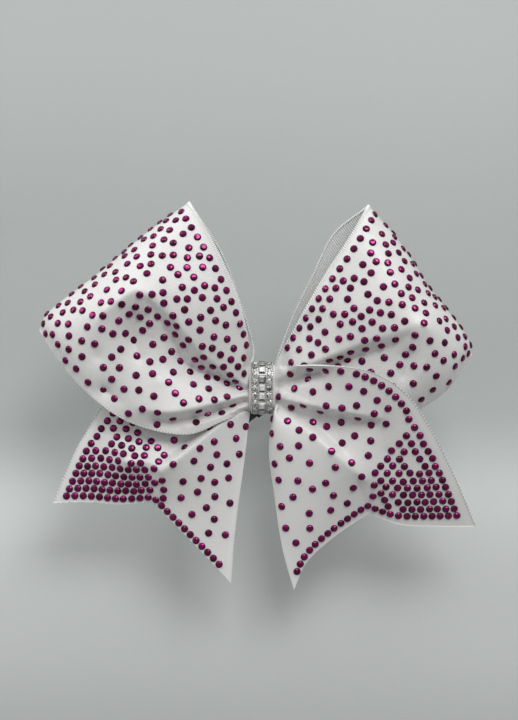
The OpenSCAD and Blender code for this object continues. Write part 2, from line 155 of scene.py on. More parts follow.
# ---------- folds: lines of (x, z, depth) that the taut ribbon is drawn over ----------
FOLDS = {
    "left_loop": [
        [(-6, 0.8, 4.4), (-12.9, 5.6, 8.4), (-19.3, 10.4, 11.6), (-25.4, 16.2, 14.6), (-29, 21.2, 16.4),
         (-32.6, 25.8, 17.6), (-39.4, 32.4, 19), (-47.5, 37.6, 19.8)],
        [(-6, -0.9, 2.2), (-13.2, 2.5, 3.2), (-18.4, 4.9, 4.6), (-23.6, 6.4, 6.2), (-29.2, 8.9, 8),
         (-32, 12.4, 9.2), (-32.8, 16, 10.6), (-34.6, 20, 12.2), (-37, 24, 14), (-40.5, 29.5, 16.4),
         (-43.8, 34.3, 18.6)],
        [(-47.5, 37.6, 19.8), (-51.7, 35.2, 19.3), (-55.5, 32.6, 18.8), (-59.4, 29.5, 18),
         (-62.4, 26, 17), (-63.8, 21.6, 16), (-64, 17, 14.8), (-62.7, 11.6, 13.2)],
        [(-48, 27.5, 14.4), (-49.5, 19.5, 11.6), (-46, 11.5, 11.8)],
        [(-42, 19, 12.2)],
        [(-60.6, -0.6, 10), (-54, -5, 12.4), (-45.2, -7.8, 14.4), (-36, -9.2, 15.2), (-27, -8, 13.6),
         (-19.3, -6.2, 10.8), (-12.9, -4.6, 7.8), (-6, -2.6, 4.6)],
        [(-41, -12.8, 10.4), (-35, -12.6, 8.8), (-27, -11.4, 6.8), (-20.6, -9.5, 4.8), (-16, -8.2, 3.6),
         (-12.9, -7.1, 2.4), (-6, -4.8, 1)],
        [(-30, -15.2, 9), (-20.6, -12.6, 7.2), (-12.9, -9.6, 5.2), (-6, -6.6, 3.4)],
        [(-39.7, 2.6, 14.4), (-30, 0.5, 12.4), (-20, -0.6, 9.6)]],
    "right_loop": [
        [(8, 5.8, 3.8), (13.5, 7.8, 6.6), (20.6, 10.5, 9.8), (28.3, 13.2, 12.4), (36.1, 16.6, 14.9),
         (42.5, 18.9, 16.4), (50.3, 21.2, 17.6), (56.8, 23.7, 18.4), (61.3, 24.6, 18.7)],
        [(13, 5.4, 3), (20.6, 7.6, 4.8), (29, 9.8, 7), (37.4, 12.6, 9.8), (45.8, 15, 12.4),
         (51, 17.4, 14.4), (56, 20.4, 16.6)],
        [(61.3, 24.6, 18.7), (63.3, 22.2, 18), (63.8, 17.1, 16.7), (63, 12.5, 15.4), (61, 7.4, 13.8),
         (59.4, 2.8, 12)],
        [(47.3, 9.8, 11.8), (56, 13.5, 13), (54, 4.6, 10.6)],
        [(18, 0, 5.4), (34, -2, 7.6), (46, -3.5, 8.6)]],
    "left_tail": [
        [(-6, -5, 1.6), (-13.2, -11.5, 4.2), (-20.9, -17.7, 6.6), (-29.1, -24.1, 8.4),
         (-34.8, -28.6, 9.2), (-38.9, -32, 8.8)],
        [(-54.2, -20, 5), (-53.8, -25, 6.6), (-52.4, -28.4, 7.8), (-48.3, -28.3, 8),
         (-43.4, -28.6, 8.2), (-41.2, -29.8, 8.4), (-38.9, -32, 8.8)],
        [(-14.5, -9.6, 1.4), (-22, -15, 2.4), (-28.6, -20.2, 3.4), (-33.4, -24.4, 4.8),
         (-37.6, -27.6, 6.6)],
        [(-44, -20, 3.4)],
        [(-30, -2, 1), (-50, -6, 1.2)],
        [(-50, -38, 4.2), (-64, -36, 3.6)]],
    "right_tail": [
        [(6, -8.6, 3.8), (12.4, -12.6, 6.8), (18, -16.6, 9), (22.9, -20.8, 10.6), (27.9, -25.2, 11.4),
         (34.3, -30.6, 11), (39.4, -35, 9.6)],
        [(6, -5.3, 1.6), (11.7, -7.1, 2.6), (19.8, -8.9, 5), (29.1, -10.7, 7.8), (36, -12, 9.8),
         (43, -13, 11)],
        [(9, -8.6, 3.2), (13.4, -10.8, 4.4), (19, -13.8, 5.8), (25, -18.2, 7.4), (31, -23.4, 8.6)],
        [(6, -3.9, 4.6), (12, -5.3, 8.2), (19.8, -6.9, 11.8), (28, -8.5, 14.2), (36, -9.9, 15.2),
         (45, -11.2, 14.8)],
        [(6, -1.3, 4), (12.8, 0.3, 7.8), (20, 2.6, 11.4)],
        [(6, 0.2, 1.8), (9.2, 1.4, 2.8), (12.8, 2.9, 4.4), (16.6, 4.6, 6.8), (22, 6.1, 10.2)],
        [(6, 4, 4.2), (12, 6, 7.6)],
        [(48, -24, 9.6), (55, -38, 6.6)]],
}
BACK_FOLDS = {
    "left_loop": [
        [(-7, 1, -5.5), (-18, 16, -11), (-32, 27, -15), (-45, 34, -16.4)],
        [(-7, -1.5, -3.8), (-22, 6, -6.4), (-36, 16, -10), (-44, 27, -14)],
        [(-45, 34, -16.4), (-55, 26, -15.4), (-61, 16, -12.4)]],
    "right_loop": [
        [(7, 2, -5.5), (19, 15, -11), (34, 24, -15), (46, 28, -16)],
        [(7, -1, -3.8), (21, 6, -6.2), (36, 13, -10), (46, 22, -14)],
        [(46, 28, -16), (55, 22, -14.8), (60, 12, -11.5)]],
}


# ---------- surfaces ----------
def gathers(w):
    """Three fan folds across the ribbon, a little deeper at its borders."""
    return -np.cos(4 * np.pi * w) + 0.8 * np.abs(2 * w - 1) ** 6


def root_pleat(w, r):
    """The fan folds that leave the knot and fade out over the first part of a section."""
    return gathers(w) * (0.8 + 3 * r) * np.clip(1 - r / 0.4, 0, 1) ** 2


def at_root(xz, depth, u):
    """Near the knot the ribbon keeps inside the oval of the wrap."""
    over = np.clip(np.abs(xz[..., 1]) - WRAP_HALF, 0, WRAP_IN - 0.2)
    room = np.sqrt(WRAP_IN ** 2 - over ** 2) - 0.7
    return lerp(np.clip(depth, -room, room), depth, smooth(u / 0.1))


def loop_base(name, u, w):
    """A loop before its folds: u is 0 to 1 on the front, 1 to 2 on the back, 1 at the fold line."""
    u, w = np.broadcast_arrays(np.asarray(u, float), np.asarray(w, float))
    is_front = u <= 1
    r = np.sin(np.pi / 2 * np.minimum(u, 2 - u))
    front, back = (LEFT_FRONT, LEFT_BACK) if name == "left_loop" else (RIGHT_FRONT, RIGHT_BACK)
    xz = np.where(is_front[..., None], patch(*front, r, w), patch(*back, r, w))
    fall = 1 - np.where(w < 0.5, *EDGE_FALL[name]) * np.abs(2 * w - 1) ** 1.9
    swell = np.abs(np.sin(np.pi * u)) * np.where(is_front, FRONT_PUFF, BACK_PUFF) * fall
    layer = np.where(is_front, PASS_DEPTH[name], BACK_DEPTH)
    depth = lerp(layer, 0, r) + np.where(is_front, swell, -swell) + root_pleat(w, r)
    return xz, at_root(xz, depth, np.minimum(u, 2 - u))


def tail_base(name, u, w):
    """A tail before its folds: u is 0 at the knot and 1 at the cut end."""
    u, w = np.broadcast_arrays(np.asarray(u, float), np.asarray(w, float))
    xz = patch(*(LEFT_TAIL if name == "left_tail" else RIGHT_TAIL), u, w, notched)
    depth = lerp(PASS_DEPTH[name], CUT_DEPTH[name], u)
    if name == "right_tail":
        depth = depth + TAIL_LIFT * w ** 0.7 * np.sin(np.pi * np.clip(u, 0, 1) ** 0.6)
    return xz, at_root(xz, depth + root_pleat(w, u), u)


class Relief:
    """How far a taut sheet leaves its base when it is drawn over fold lines and held at its edges.

    It solves tension and bending together on a raster of the front view, with every fold line
    and the whole outline as soft pins, and reads the answer back through smooth B-splines."""

    CELL = 0.65
    MARGIN = 4
    TENSION = 0.02
    BENDING = 0.09
    FOLD_HOLD = 0.5
    RIM_HOLD = 1.0

    def __init__(self, xz, depth, folds, flange=0.0):
        flat = xz.reshape(-1, 2)
        values = depth.reshape(-1)
        self.low = flat.min(0) - self.MARGIN
        self.shape = tuple(np.ceil((flat.max(0) + self.MARGIN - self.low) / self.CELL).astype(int) + 1)
        points, wanted = [], []
        for line in folds:
            p = np.array(line, float)
            p = spline(p, np.linspace(0, 1, 60 * (len(p) - 1))) if len(p) > 1 else p
            near = np.array([np.argmin(((flat - q) ** 2).sum(1)) for q in p[:, :2]])
            points.append(p[:, :2])
            wanted.append(p[:, 2] - values[near])
        if flange > 0:
            inside = xz[int(0.22 * len(xz)):int(0.93 * len(xz)), -5]
            points.append(inside)
            wanted.append(np.full(len(inside), flange))
        hold = [np.full(len(v), self.FOLD_HOLD) for v in wanted]
        rim = np.concatenate([xz[0], xz[-1], xz[:, 0], xz[:, -1]])
        points.append(rim)
        wanted.append(np.zeros(len(rim)))
        hold.append(np.full(len(rim), self.RIM_HOLD))
        pins = self.cells(np.concatenate(points), linear=True)
        self.grid = self.solve(*pins, np.concatenate(hold), np.concatenate(wanted))

    def cells(self, xz, linear=False):
        """The raster points round each place and each one's share of it, linear or as a cubic B-spline."""
        g = (xz - self.low) / self.CELL
        i = np.clip(np.floor(g).astype(int), 1, np.array(self.shape) - 3)
        f = np.clip(g - i, 0, 1)
        if linear:
            first, taps = 0, [1 - f, f]
        else:
            first, taps = -1, [(1 - f) ** 3 / 6, (3 * f ** 3 - 6 * f ** 2 + 4) / 6,
                               (-3 * f ** 3 + 3 * f ** 2 + 3 * f + 1) / 6, f ** 3 / 6]
        pairs = [(m, n) for m in range(len(taps)) for n in range(len(taps))]
        corner = (i[:, 0] + first) * self.shape[1] + i[:, 1] + first
        idx = np.stack([corner + m * self.shape[1] + n for m, n in pairs], -1)
        return idx, np.stack([taps[m][:, 0] * taps[n][:, 1] for m, n in pairs], -1)

    def laplace(self, v):
        g = np.pad(v.reshape(self.shape), 1, mode="edge")
        return (4 * g[1:-1, 1:-1] - g[:-2, 1:-1] - g[2:, 1:-1] - g[1:-1, :-2] - g[1:-1, 2:]).ravel()

    def solve(self, idx, share, hold, wanted):
        """Conjugate gradients on the pinned sheet."""
        count = self.shape[0] * self.shape[1]

        def spread(values):
            return np.bincount(idx.ravel(), (values[:, None] * share).ravel(), minlength=count)

        def apply(v):
            lap = self.laplace(v)
            pull = spread(hold * (v[idx] * share).sum(1))
            return pull + self.TENSION * lap + self.TENSION * self.BENDING * self.laplace(lap)

        b = spread(hold * wanted)
        x = np.zeros(count)
        r = b - apply(x)
        p, rr = r.copy(), r @ r
        for _ in range(500):
            ap = apply(p)
            alpha = rr / (p @ ap)
            x += alpha * p
            r -= alpha * ap
            new = r @ r
            if new < 1e-10 * (b @ b + 1e-12):
                break
            p = r + new / rr * p
            rr = new
        return x

    def __call__(self, xz):
        idx, share = self.cells(xz.reshape(-1, 2))
        return (self.grid[idx] * share).sum(1).reshape(xz.shape[:-1])


# How far the satin stands up just inside a loop's upper border
FLANGE = 1.1
COARSE_U = np.linspace(0, 1, 120)[:, None]
COARSE_W = np.linspace(0, 1, 90)[None, :]
reliefs = {}
for loop_name in LOOPS:
    front_base = loop_base(loop_name, COARSE_U, COARSE_W)
    back_base = loop_base(loop_name, 2 - COARSE_U, COARSE_W)
    reliefs[loop_name, "front"] = Relief(*front_base, FOLDS[loop_name], FLANGE)
    reliefs[loop_name, "back"] = Relief(*back_base, BACK_FOLDS[loop_name])
for tail_name in TAILS:
    reliefs[tail_name, "front"] = Relief(*tail_base(tail_name, COARSE_U, COARSE_W), FOLDS[tail_name])

RIPPLE_COUNT = 7
RIPPLE_DEPTH = 0.5


def ripples(name, xz):
    """Faint handling marks in the ribbon, a fraction of a millimetre deep."""
    r = np.random.default_rng(sum(map(ord, name)))
    out = np.zeros(xz.shape[:-1])
    for _ in range(RIPPLE_COUNT):
        angle, length = r.uniform(0, np.pi), r.uniform(14, 34)
        phase = r.uniform(0, 2 * np.pi)
        along = xz[..., 0] * math.cos(angle) + xz[..., 1] * math.sin(angle)
        out += np.sin(2 * np.pi * along / length + phase) * length / 34
    return out * RIPPLE_DEPTH / RIPPLE_COUNT


def raw_point(name, u, w):
    """(x, depth, z) of the ribbon's middle surface, before contact with its neighbours."""
    u, w = np.broadcast_arrays(np.asarray(u, float), np.asarray(w, float))
    if name in LOOPS:
        xz, depth = loop_base(name, u, w)
        free = np.sin(np.pi * np.clip(np.minimum(u, 2 - u), 0, 1)) ** 0.5
        depth = depth + np.where(u <= 1, reliefs[name, "front"](xz), reliefs[name, "back"](xz))
    else:
        xz, depth = tail_base(name, u, w)
        free = smooth(u * 4)
        depth = depth + reliefs[name, "front"](xz)
    return np.stack([xz[..., 0], depth + ripples(name, xz) * free, xz[..., 1]], -1)


class DepthMap:
    """The greatest or least depth of a surface over the front view, for keeping layers apart."""

    NOWHERE = 1000.0
    MAPPED = 900.0

    def __init__(self, points, greatest):
        self.low = points.reshape(-1, 3).min(0)[[0, 2]] - 3
        high = points.reshape(-1, 3).max(0)[[0, 2]] + 3
        self.shape = tuple(np.ceil(high - self.low).astype(int) + 1)
        self.empty = -self.NOWHERE if greatest else self.NOWHERE
        self.grid = np.full(self.shape, self.empty)
        cell = np.round(points[..., [0, 2]] - self.low).astype(int).reshape(-1, 2)
        keep = np.maximum if greatest else np.minimum
        keep.at(self.grid, (cell[:, 0], cell[:, 1]), points[..., 1].reshape(-1))

    def __call__(self, xz):
        """The depths there, and where the map has any."""
        g = xz - self.low
        i = np.clip(np.floor(g).astype(int), 0, np.array(self.shape) - 2)
        f = np.clip(g - i, 0, 1)
        v = np.array([[self.grid[i[..., 0] + a, i[..., 1] + b] for b in (0, 1)] for a in (0, 1)])
        inside = (g >= 0).all(-1) & (g < np.array(self.shape) - 1).all(-1)
        found = inside & (np.abs(v) < self.MAPPED).all((0, 1))
        return lerp(lerp(v[0, 0], v[0, 1], f[..., 1]), lerp(v[1, 0], v[1, 1], f[..., 1]), f[..., 0]), found


def soft_max(a, b, width):
    """The greater of two depths, with the change between them rounded over a width."""
    t = np.clip((a - b) / width, -1, 1)
    return np.where(np.abs(a - b) < width, (a + b) / 2 + width * (1 + t * t) / 4, np.maximum(a, b))


DENSE_U = np.linspace(0, 1, 300)[:, None]
DENSE_W = np.linspace(0, 1, 260)[None, :]
right_front_map = DepthMap(raw_point("right_loop", DENSE_U, DENSE_W), True)
left_front_map = DepthMap(raw_point("left_loop", DENSE_U, DENSE_W), False)
left_back_map = DepthMap(raw_point("left_loop", 2 - DENSE_U, DENSE_W), True)
# Room between two layers with stones on the lower one, and between two bare layers
STONE_ROOM = 2.1
BARE_ROOM = 1.2


def point(name, u, w):
    """(x, depth, z) of the ribbon's middle surface: the right tail lies on its loop, the left one inside."""
    p = raw_point(name, u, w)
    xz, depth = p[..., [0, 2]], p[..., 1]
    if name == "right_tail":
        floor, found = right_front_map(xz)
        depth = np.where(found, soft_max(depth, floor + STONE_ROOM, 1.2), depth)
    if name == "left_tail":
        ceiling, found = left_front_map(xz)
        depth = np.where(found, -soft_max(-depth, STONE_ROOM - ceiling, 1.2), depth)
        floor, found = left_back_map(xz)
        depth = np.where(found, soft_max(depth, floor + BARE_ROOM, 0.8), depth)
    return np.stack([p[..., 0], depth, p[..., 2]], -1)


# ---------- meshes ----------
def make_object(name, verts, faces, material, uv=None, smooth_faces=True, painted_facet_light=None):
    """A mesh from points in millimetres about the knot's centre (x, y, z)."""
    mesh = bpy.data.meshes.new(name)
    in_frame = (np.asarray(verts, float) + np.array(KNOT)) * MM
    mesh.from_pydata([tuple(v) for v in in_frame], [], [tuple(int(i) for i in f) for f in faces])
    mesh.update()
    if uv is not None:
        layer = mesh.uv_layers.new(name="ribbon")
        loops = np.zeros(len(mesh.loops), np.int32)
        mesh.loops.foreach_get("vertex_index", loops)
        layer.data.foreach_set("uv", np.asarray(uv, np.float32)[loops].ravel())
    # Each face's painted reflection, for the stones' facets
    if painted_facet_light is not None:
        attribute = mesh.attributes.new("painted_facet_light", "FLOAT", "FACE")
        attribute.data.foreach_set("value", np.asarray(painted_facet_light, np.float32))
    mesh.polygons.foreach_set("use_smooth", [smooth_faces] * len(mesh.polygons))
    mesh.materials.append(material)
    obj = bpy.data.objects.new(name, mesh)
    bpy.context.scene.collection.objects.link(obj)
    return obj


def unit(v):
    """Vectors of length 1 along the last axis."""
    return v / np.maximum(np.linalg.norm(v, axis=-1, keepdims=True), 1e-12)


def facing(name):
    """1 where the surface's own normal points out of the bow's satin side."""
    return -1 if name in ("left_loop", "left_tail") else 1


def sheet_mesh(p, near, far, uv):
    """Vertices, faces and coordinates of a closed sheet between two offsets of a surface grid."""
    n = unit(np.cross(np.gradient(p, axis=0), np.gradient(p, axis=1)))
    nu, nw = p.shape[:2]
    verts = np.concatenate([(p + n * near).reshape(-1, 3), (p + n * far).reshape(-1, 3)])
    idx = np.arange(nu * nw).reshape(nu, nw)
    a, b, c, d = idx[:-1, :-1], idx[1:, :-1], idx[1:, 1:], idx[:-1, 1:]
    top = np.stack([a, b, c, d], -1).reshape(-1, 4) + nu * nw
    low = np.stack([a, d, c, b], -1).reshape(-1, 4)
    rim = np.concatenate([idx[0, :], idx[1:, -1], idx[-1, -2::-1], idx[-2:0:-1, 0]])
    following = np.roll(rim, -1)
    wall = np.stack([rim, following, following + nu * nw, rim + nu * nw], -1)
    return verts, np.concatenate([top, low, wall]), np.concatenate([uv.reshape(-1, 2)] * 2)


def ring(count, radius, height, turn=0.0):
    """Points of a level ring, turned by a part of their spacing."""
    return [(radius * math.cos(2 * math.pi * (k + turn) / count),
             radius * math.sin(2 * math.pi * (k + turn) / count), height) for k in range(count)]


def distance_along(name, u):
    """Length along the ribbon's middle line from the knot to each u."""
    p = point(name, u, np.full_like(u, 0.5))
    step = np.linalg.norm(np.diff(p, axis=0), axis=-1)
    return np.concatenate([[0], np.cumsum(step)])


# The woven edge: distance between its ribs, and how high its stitches stand at a loop's upper border
RIB_PITCH = 0.95
PICOT_SIDES = 6
PICOT_HALF_LENGTH = 0.28


def picots(name, u, w_edge, along):
    """Stitched bumps along a woven edge, one on each rib, standing out at the loops' upper borders."""
    raised = 1.0 if name in LOOPS and w_edge > 0.5 else 0.2
    count = int(along[-1] / RIB_PITCH)
    at = np.interp((np.arange(count) + 0.25) * RIB_PITCH, along, u)
    edge = np.full_like(at, w_edge)
    centre = point(name, at, edge)
    t = unit(point(name, np.clip(at + 0.004, 0, u[-1]), edge) - centre)
    s = unit(centre - point(name, at, edge + (0.01 if w_edge < 0.5 else -0.01)))
    n = np.cross(t, s)
    n *= np.sign(n @ np.array([0.0, 1.0, 0.0]))[:, None] * np.where(at > 1, -1.0, 1.0)[:, None]
    # Each ring of a bump as (how far out from the edge, size)
    levels = ((-0.7 - 0.4 * raised, 0.85), (0.0, 1.0), (0.1 + 0.3 * raised, 0.6))
    sides = range(PICOT_SIDES)
    verts, faces = [], []
    for k in range(count):
        base = len(verts)
        middle = centre[k] + n[k] * 0.16 * raised
        for depth, size in levels:
            for x, y, _ in ring(PICOT_SIDES, 1.0, 0.0):
                verts.append(middle + s[k] * depth + t[k] * PICOT_HALF_LENGTH * size * x
                             + n[k] * (0.33 + 0.13 * raised) * size * y)
        verts.append(middle + s[k] * (0.15 + 0.35 * raised))
        for level in range(2):
            low = base + level * PICOT_SIDES
            faces += [(low + j, low + (j + 1) % PICOT_SIDES, low + PICOT_SIDES + (j + 1) % PICOT_SIDES,
                       low + PICOT_SIDES + j) for j in sides]
        tip = base + 3 * PICOT_SIDES
        faces += [(tip - PICOT_SIDES + j, tip - PICOT_SIDES + (j + 1) % PICOT_SIDES, tip) for j in sides]
        faces.append(tuple(base + j for j in reversed(sides)))
    return verts, faces


# Where a picot reads its colour on the ribbon: inside the woven band
PICOT_UV = (0.0025, 0.3)
LINING_INSET = 0.12


def add_ribbon(name, last, rows, columns):
    """The satin and the ribbed lining of one section of ribbon."""
    u = np.linspace(0, last, rows)
    w = np.linspace(0, 1, columns)
    along = distance_along(name, u)
    for kind, inset, near, far in (("satin", 0.0, 0.0, SATIN_T), ("lining", LINING_INSET, -LINING_T, -0.01)):
        ww = lerp(inset / RIBBON_W, 1 - inset / RIBBON_W, w)
        p = point(name, u[:, None], ww[None, :])
        p[..., 1] *= -1
        if name == "left_tail":
            fray = rng.uniform(-0.1, 0.35, columns) * (w > 0.5)
            p[-1] += unit(p[-1] - p[-2]) * fray[:, None]
        uv = np.stack(np.broadcast_arrays(along[:, None] / UV_UNIT, ww[None, :] * RIBBON_W / UV_UNIT), -1)
        offsets = (near, far) if facing(name) > 0 else (-far, -near)
        verts, faces, coords = map(list, sheet_mesh(p, *offsets, uv))
        if kind == "lining":
            for edge in (0.0, 1.0):
                bumps, bump_faces = picots(name, u, edge, along)
                faces += [tuple(i + len(verts) for i in f) for f in bump_faces]
                verts += [np.array([q[0], -q[1], q[2]]) for q in bumps]
                coords += [np.array(PICOT_UV)] * len(bumps)
        satin = satin_material if name in LOOPS else tail_satin_material
        cloth = lining_material if kind == "lining" else satin
        obj = make_object(f"{name}_{kind}_cloth", verts, faces, cloth, uv=coords)
        attach(obj, name, kind)


# ---------- materials ----------
class Shader:
    """A Principled material built node by node."""

    def __init__(self, name):
        self.material = bpy.data.materials.new(name)
        self.material.use_nodes = True
        self.tree = self.material.node_tree
        self.bsdf = self.tree.nodes["Principled BSDF"]

    def node(self, kind, **values):
        n = self.tree.nodes.new(kind)
        for key, value in values.items():
            if key in n.inputs:
                n.inputs[key].default_value = value
            else:
                setattr(n, key, value)
        return n

    def link(self, a, b):
        self.tree.links.new(a, b)

    def set(self, **values):
        for key, value in values.items():
            self.bsdf.inputs[key.replace("_", " ")].default_value = value

    def math(self, operation, a, b=None, c=None):
        n = self.node("ShaderNodeMath", operation=operation)
        for slot, value in zip(n.inputs, (a, b, c)):
            if value is None:
                continue
            if isinstance(value, (int, float)):
                slot.default_value = value
            else:
                self.link(value, slot)
        return n.outputs[0]

    def mix(self, factor, a, b):
        n = self.node("ShaderNodeMix", data_type="RGBA")
        for slot, value in zip((n.inputs[0], n.inputs[6], n.inputs[7]), (factor, a, b)):
            if isinstance(value, (int, float, tuple)):
                slot.default_value = value
            else:
                self.link(value, slot)
        return n.outputs[2]

    def ramp(self, value, low, high, to_low=0.0, to_high=1.0):
        n = self.node("ShaderNodeMapRange", interpolation_type="SMOOTHSTEP")
        self.link(value, n.inputs[0])
        for slot, v in zip(n.inputs[1:5], (low, high, to_low, to_high)):
            slot.default_value = v
        return n.outputs[0]

    def bump(self, height, strength, distance, onto=None):
        n = self.node("ShaderNodeBump")
        n.inputs["Strength"].default_value = strength
        n.inputs["Distance"].default_value = distance
        self.link(height, n.inputs["Height"])
        if onto is not None:
            self.link(onto, n.inputs["Normal"])
        return n.outputs["Normal"]

    def noise(self, vector, scale, detail=3.0):
        n = self.node("ShaderNodeTexNoise", Scale=scale, Detail=detail)
        if vector is not None:
            self.link(vector, n.inputs["Vector"])
        return n.outputs["Fac"]


def ribbon_uv(s):
    uv = s.node("ShaderNodeUVMap", uv_map="ribbon").outputs["UV"]
    xy = s.node("ShaderNodeSeparateXYZ")
    s.link(uv, xy.inputs[0])
    return uv, xy.outputs[0], xy.outputs[1]


def waves(s, coordinate, pitch_mm):
    """A smooth 0 to 1 wave along a ribbon coordinate."""
    turned = s.math("MULTIPLY", coordinate, 2 * math.pi * UV_UNIT / pitch_mm)
    return s.math("MULTIPLY_ADD", s.math("SINE", turned), 0.5, 0.5)


def make_satin(name, rib_contrast):
    """Satin with a fine twill, and cross ribs that show in the woven band along each border, with painted
    shade in the grooves between them.
    """
    s = Shader(name)
    uv, along, across = ribbon_uv(s)
    diagonal = s.math("ADD", along, s.math("MULTIPLY", across, 0.9))
    twill = waves(s, diagonal, 0.62)
    edge = s.math("MINIMUM", across, s.math("SUBTRACT", RIBBON_W / UV_UNIT, across))
    band = s.ramp(edge, 0.026, 0.022)
    rim = s.ramp(edge, 0.014, 0.009)
    ribs = waves(s, s.math("SUBTRACT", along, s.math("MULTIPLY", edge, 0.5)), RIB_PITCH)
    height = s.math("ADD", s.math("MULTIPLY", twill, s.math("SUBTRACT", 1.0, band)),
                    s.math("MULTIPLY", s.math("MULTIPLY", ribs, band), 12 * rib_contrast))
    slub = s.noise(uv, 60, 4)
    stretched = s.node("ShaderNodeMapping", Scale=(18, 700, 1))
    s.link(uv, stretched.inputs["Vector"])
    threads = s.noise(stretched.outputs[0], 1.0, 2)
    normal = s.bump(threads, 0.12, 0.0001, s.bump(height, 0.22, 0.0001))
    s.link(normal, s.bsdf.inputs["Normal"])
    # Painted shade in the band's grooves between the ribs, strongest along the very edge, where the shadows
    # between the stitches fall
    depth = s.math("ADD", s.math("MULTIPLY", band, 0.3), rim)
    painted_groove_shade = s.math("MULTIPLY", s.math("SUBTRACT", 1.0, ribs), depth)
    shade = s.math("SUBTRACT", s.math("MULTIPLY", slub, 0.35), s.math("MULTIPLY", band, 0.35))
    cloth = s.mix(shade, (0.828, 0.816, 0.811, 1), (0.683, 0.664, 0.659, 1))
    colour = s.mix(s.math("MULTIPLY", painted_groove_shade, rib_contrast), cloth, (0.4, 0.405, 0.4, 1))
    s.link(colour, s.bsdf.inputs["Base Color"])
    rough = s.math("ADD", s.math("MULTIPLY", threads, 0.12), s.math("MULTIPLY", band, 0.2))
    s.link(s.math("ADD", rough, 0.27), s.bsdf.inputs["Roughness"])
    s.set(Sheen_Weight=0.25, Sheen_Roughness=0.4, Specular_IOR_Level=0.5, Anisotropic=0.45)
    return s.material


def make_lining():
    """Grosgrain: matt, with raised cross ribs one millimetre apart and painted shade in the grooves between
    them.
    """
    s = Shader("white_grosgrain")
    uv, along, _ = ribbon_uv(s)
    ribs = waves(s, along, 1.0)
    soft = s.noise(uv, 90, 4)
    s.link(s.bump(ribs, 0.7, 0.0003, s.bump(soft, 0.2, 0.0001)), s.bsdf.inputs["Normal"])
    # Painted shade in the grooves between the ribs
    painted_groove_shade = s.math("MULTIPLY", s.math("SUBTRACT", 1.0, ribs), 0.6)
    shade = s.math("ADD", s.math("MULTIPLY", soft, 0.2), painted_groove_shade)
    s.link(s.mix(shade, (0.96, 0.965, 0.955, 1), (0.72, 0.725, 0.72, 1)), s.bsdf.inputs["Base Color"])
    s.set(Roughness=0.6, Sheen_Weight=0.3)
    return s.material


def make_stone():
    """Foil-backed fuchsia glass with painted reflections: each facet's brightness comes from the mesh."""
    s = Shader("fuchsia_crystal")
    painted_facet_light = s.node("ShaderNodeAttribute", attribute_name="painted_facet_light").outputs["Fac"]
    cloud = s.noise(None, 1400, 2)
    amount = s.math("ADD", s.math("MULTIPLY", painted_facet_light, 0.85), s.math("MULTIPLY", cloud, 0.15))
    s.link(s.mix(amount, (0.04, 0.0, 0.013, 1), (0.33, 0.006, 0.15, 1)), s.bsdf.inputs["Base Color"])
    s.link(s.math("MULTIPLY_ADD", cloud, 0.1, 0.06), s.bsdf.inputs["Roughness"])
    s.set(Metallic=0.85, Coat_Weight=0.35, Coat_Roughness=0.03, Coat_IOR=1.45)
    return s.material


def make_crystal():
    """Foil-backed clear glass with painted reflections: each facet's brightness, from near black to white,
    comes from the mesh.
    """
    s = Shader("clear_crystal")
    painted_facet_light = s.node("ShaderNodeAttribute", attribute_name="painted_facet_light").outputs["Fac"]
    cloud = s.noise(None, 900, 2)
    s.link(s.mix(painted_facet_light, (0.05, 0.052, 0.056, 1), (1.0, 1.0, 1.0, 1)), s.bsdf.inputs["Base Color"])
    s.link(s.math("MULTIPLY_ADD", cloud, 0.08, 0.04), s.bsdf.inputs["Roughness"])
    s.set(Metallic=0.3, Coat_Weight=0.8, Coat_Roughness=0.02)
    return s.material


def plain(name, colour, roughness, scale, strength, depth=0.0001, wear=0.85, **more):
    """A plain finish with fine grain, darkened by wear here and there."""
    s = Shader(name)
    where = s.node("ShaderNodeTexCoord").outputs["Object"]
    grain = s.noise(where, scale, 4)
    worn = tuple(c * wear for c in colour)
    s.link(s.mix(grain, (*colour, 1), (*worn, 1)), s.bsdf.inputs["Base Color"])
    s.link(s.math("ADD", s.math("MULTIPLY", grain, 0.15), roughness - 0.07), s.bsdf.inputs["Roughness"])
    s.link(s.bump(grain, strength, depth), s.bsdf.inputs["Normal"])
    s.set(**more)
    return s.material


# The loops' satin gets deeper ribs and more painted groove shade than the tails' copy
satin_material = make_satin("white_satin", 0.5)
tail_satin_material = make_satin("white_satin_tails", 0.12)
lining_material = make_lining()
stone_material = make_stone()
thread_material = plain("thread", (0.82, 0.82, 0.8), 0.6, 1500, 0.5)
silver_material = plain("silver_setting", (0.78, 0.77, 0.74), 0.2, 700, 0.25, wear=0.6, Metallic=1.0)
crystal_material = make_crystal()
tape_material = plain("black_tape", (0.02, 0.02, 0.022), 0.7, 1800, 0.8, depth=0.0003, Sheen_Weight=0.3)
cord_material = plain("black_elastic", (0.015, 0.015, 0.017), 0.65, 1400, 0.6, Sheen_Weight=0.4)

# ---------- ribbon ----------
# How finely the ribbon and the cord are divided
FINE = 1.0


def attach(obj, name, kind):
    """Puts a piece on its loop, or bakes a tail's piece where it stands, between the knot and the free end of
    its tail.
    """
    if name in LOOPS:
        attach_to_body(obj, name)
        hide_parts(f"{name}_{kind}")
    else:
        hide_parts(f"{name}_{kind}", f"{name}_neck_{kind}")
        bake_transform(obj)


for section in LOOPS:
    add_ribbon(section, 2.0, int(300 * FINE), int(120 * FINE))
for section in TAILS:
    add_ribbon(section, 1.0, int(170 * FINE), 2 * int(62 * FINE) + 1)

# ---------- stones ----------
STONE_R = 1.45
# How far the stones keep from the woven edges and from a tail's cut, and a tail's length about there
EDGE_MARGIN = 4.2
CUT_MARGIN = 2.6
TAIL_LENGTH = 66
# The left tail's loop hides it above this height, where it has no stones
HIDDEN_ABOVE = -9
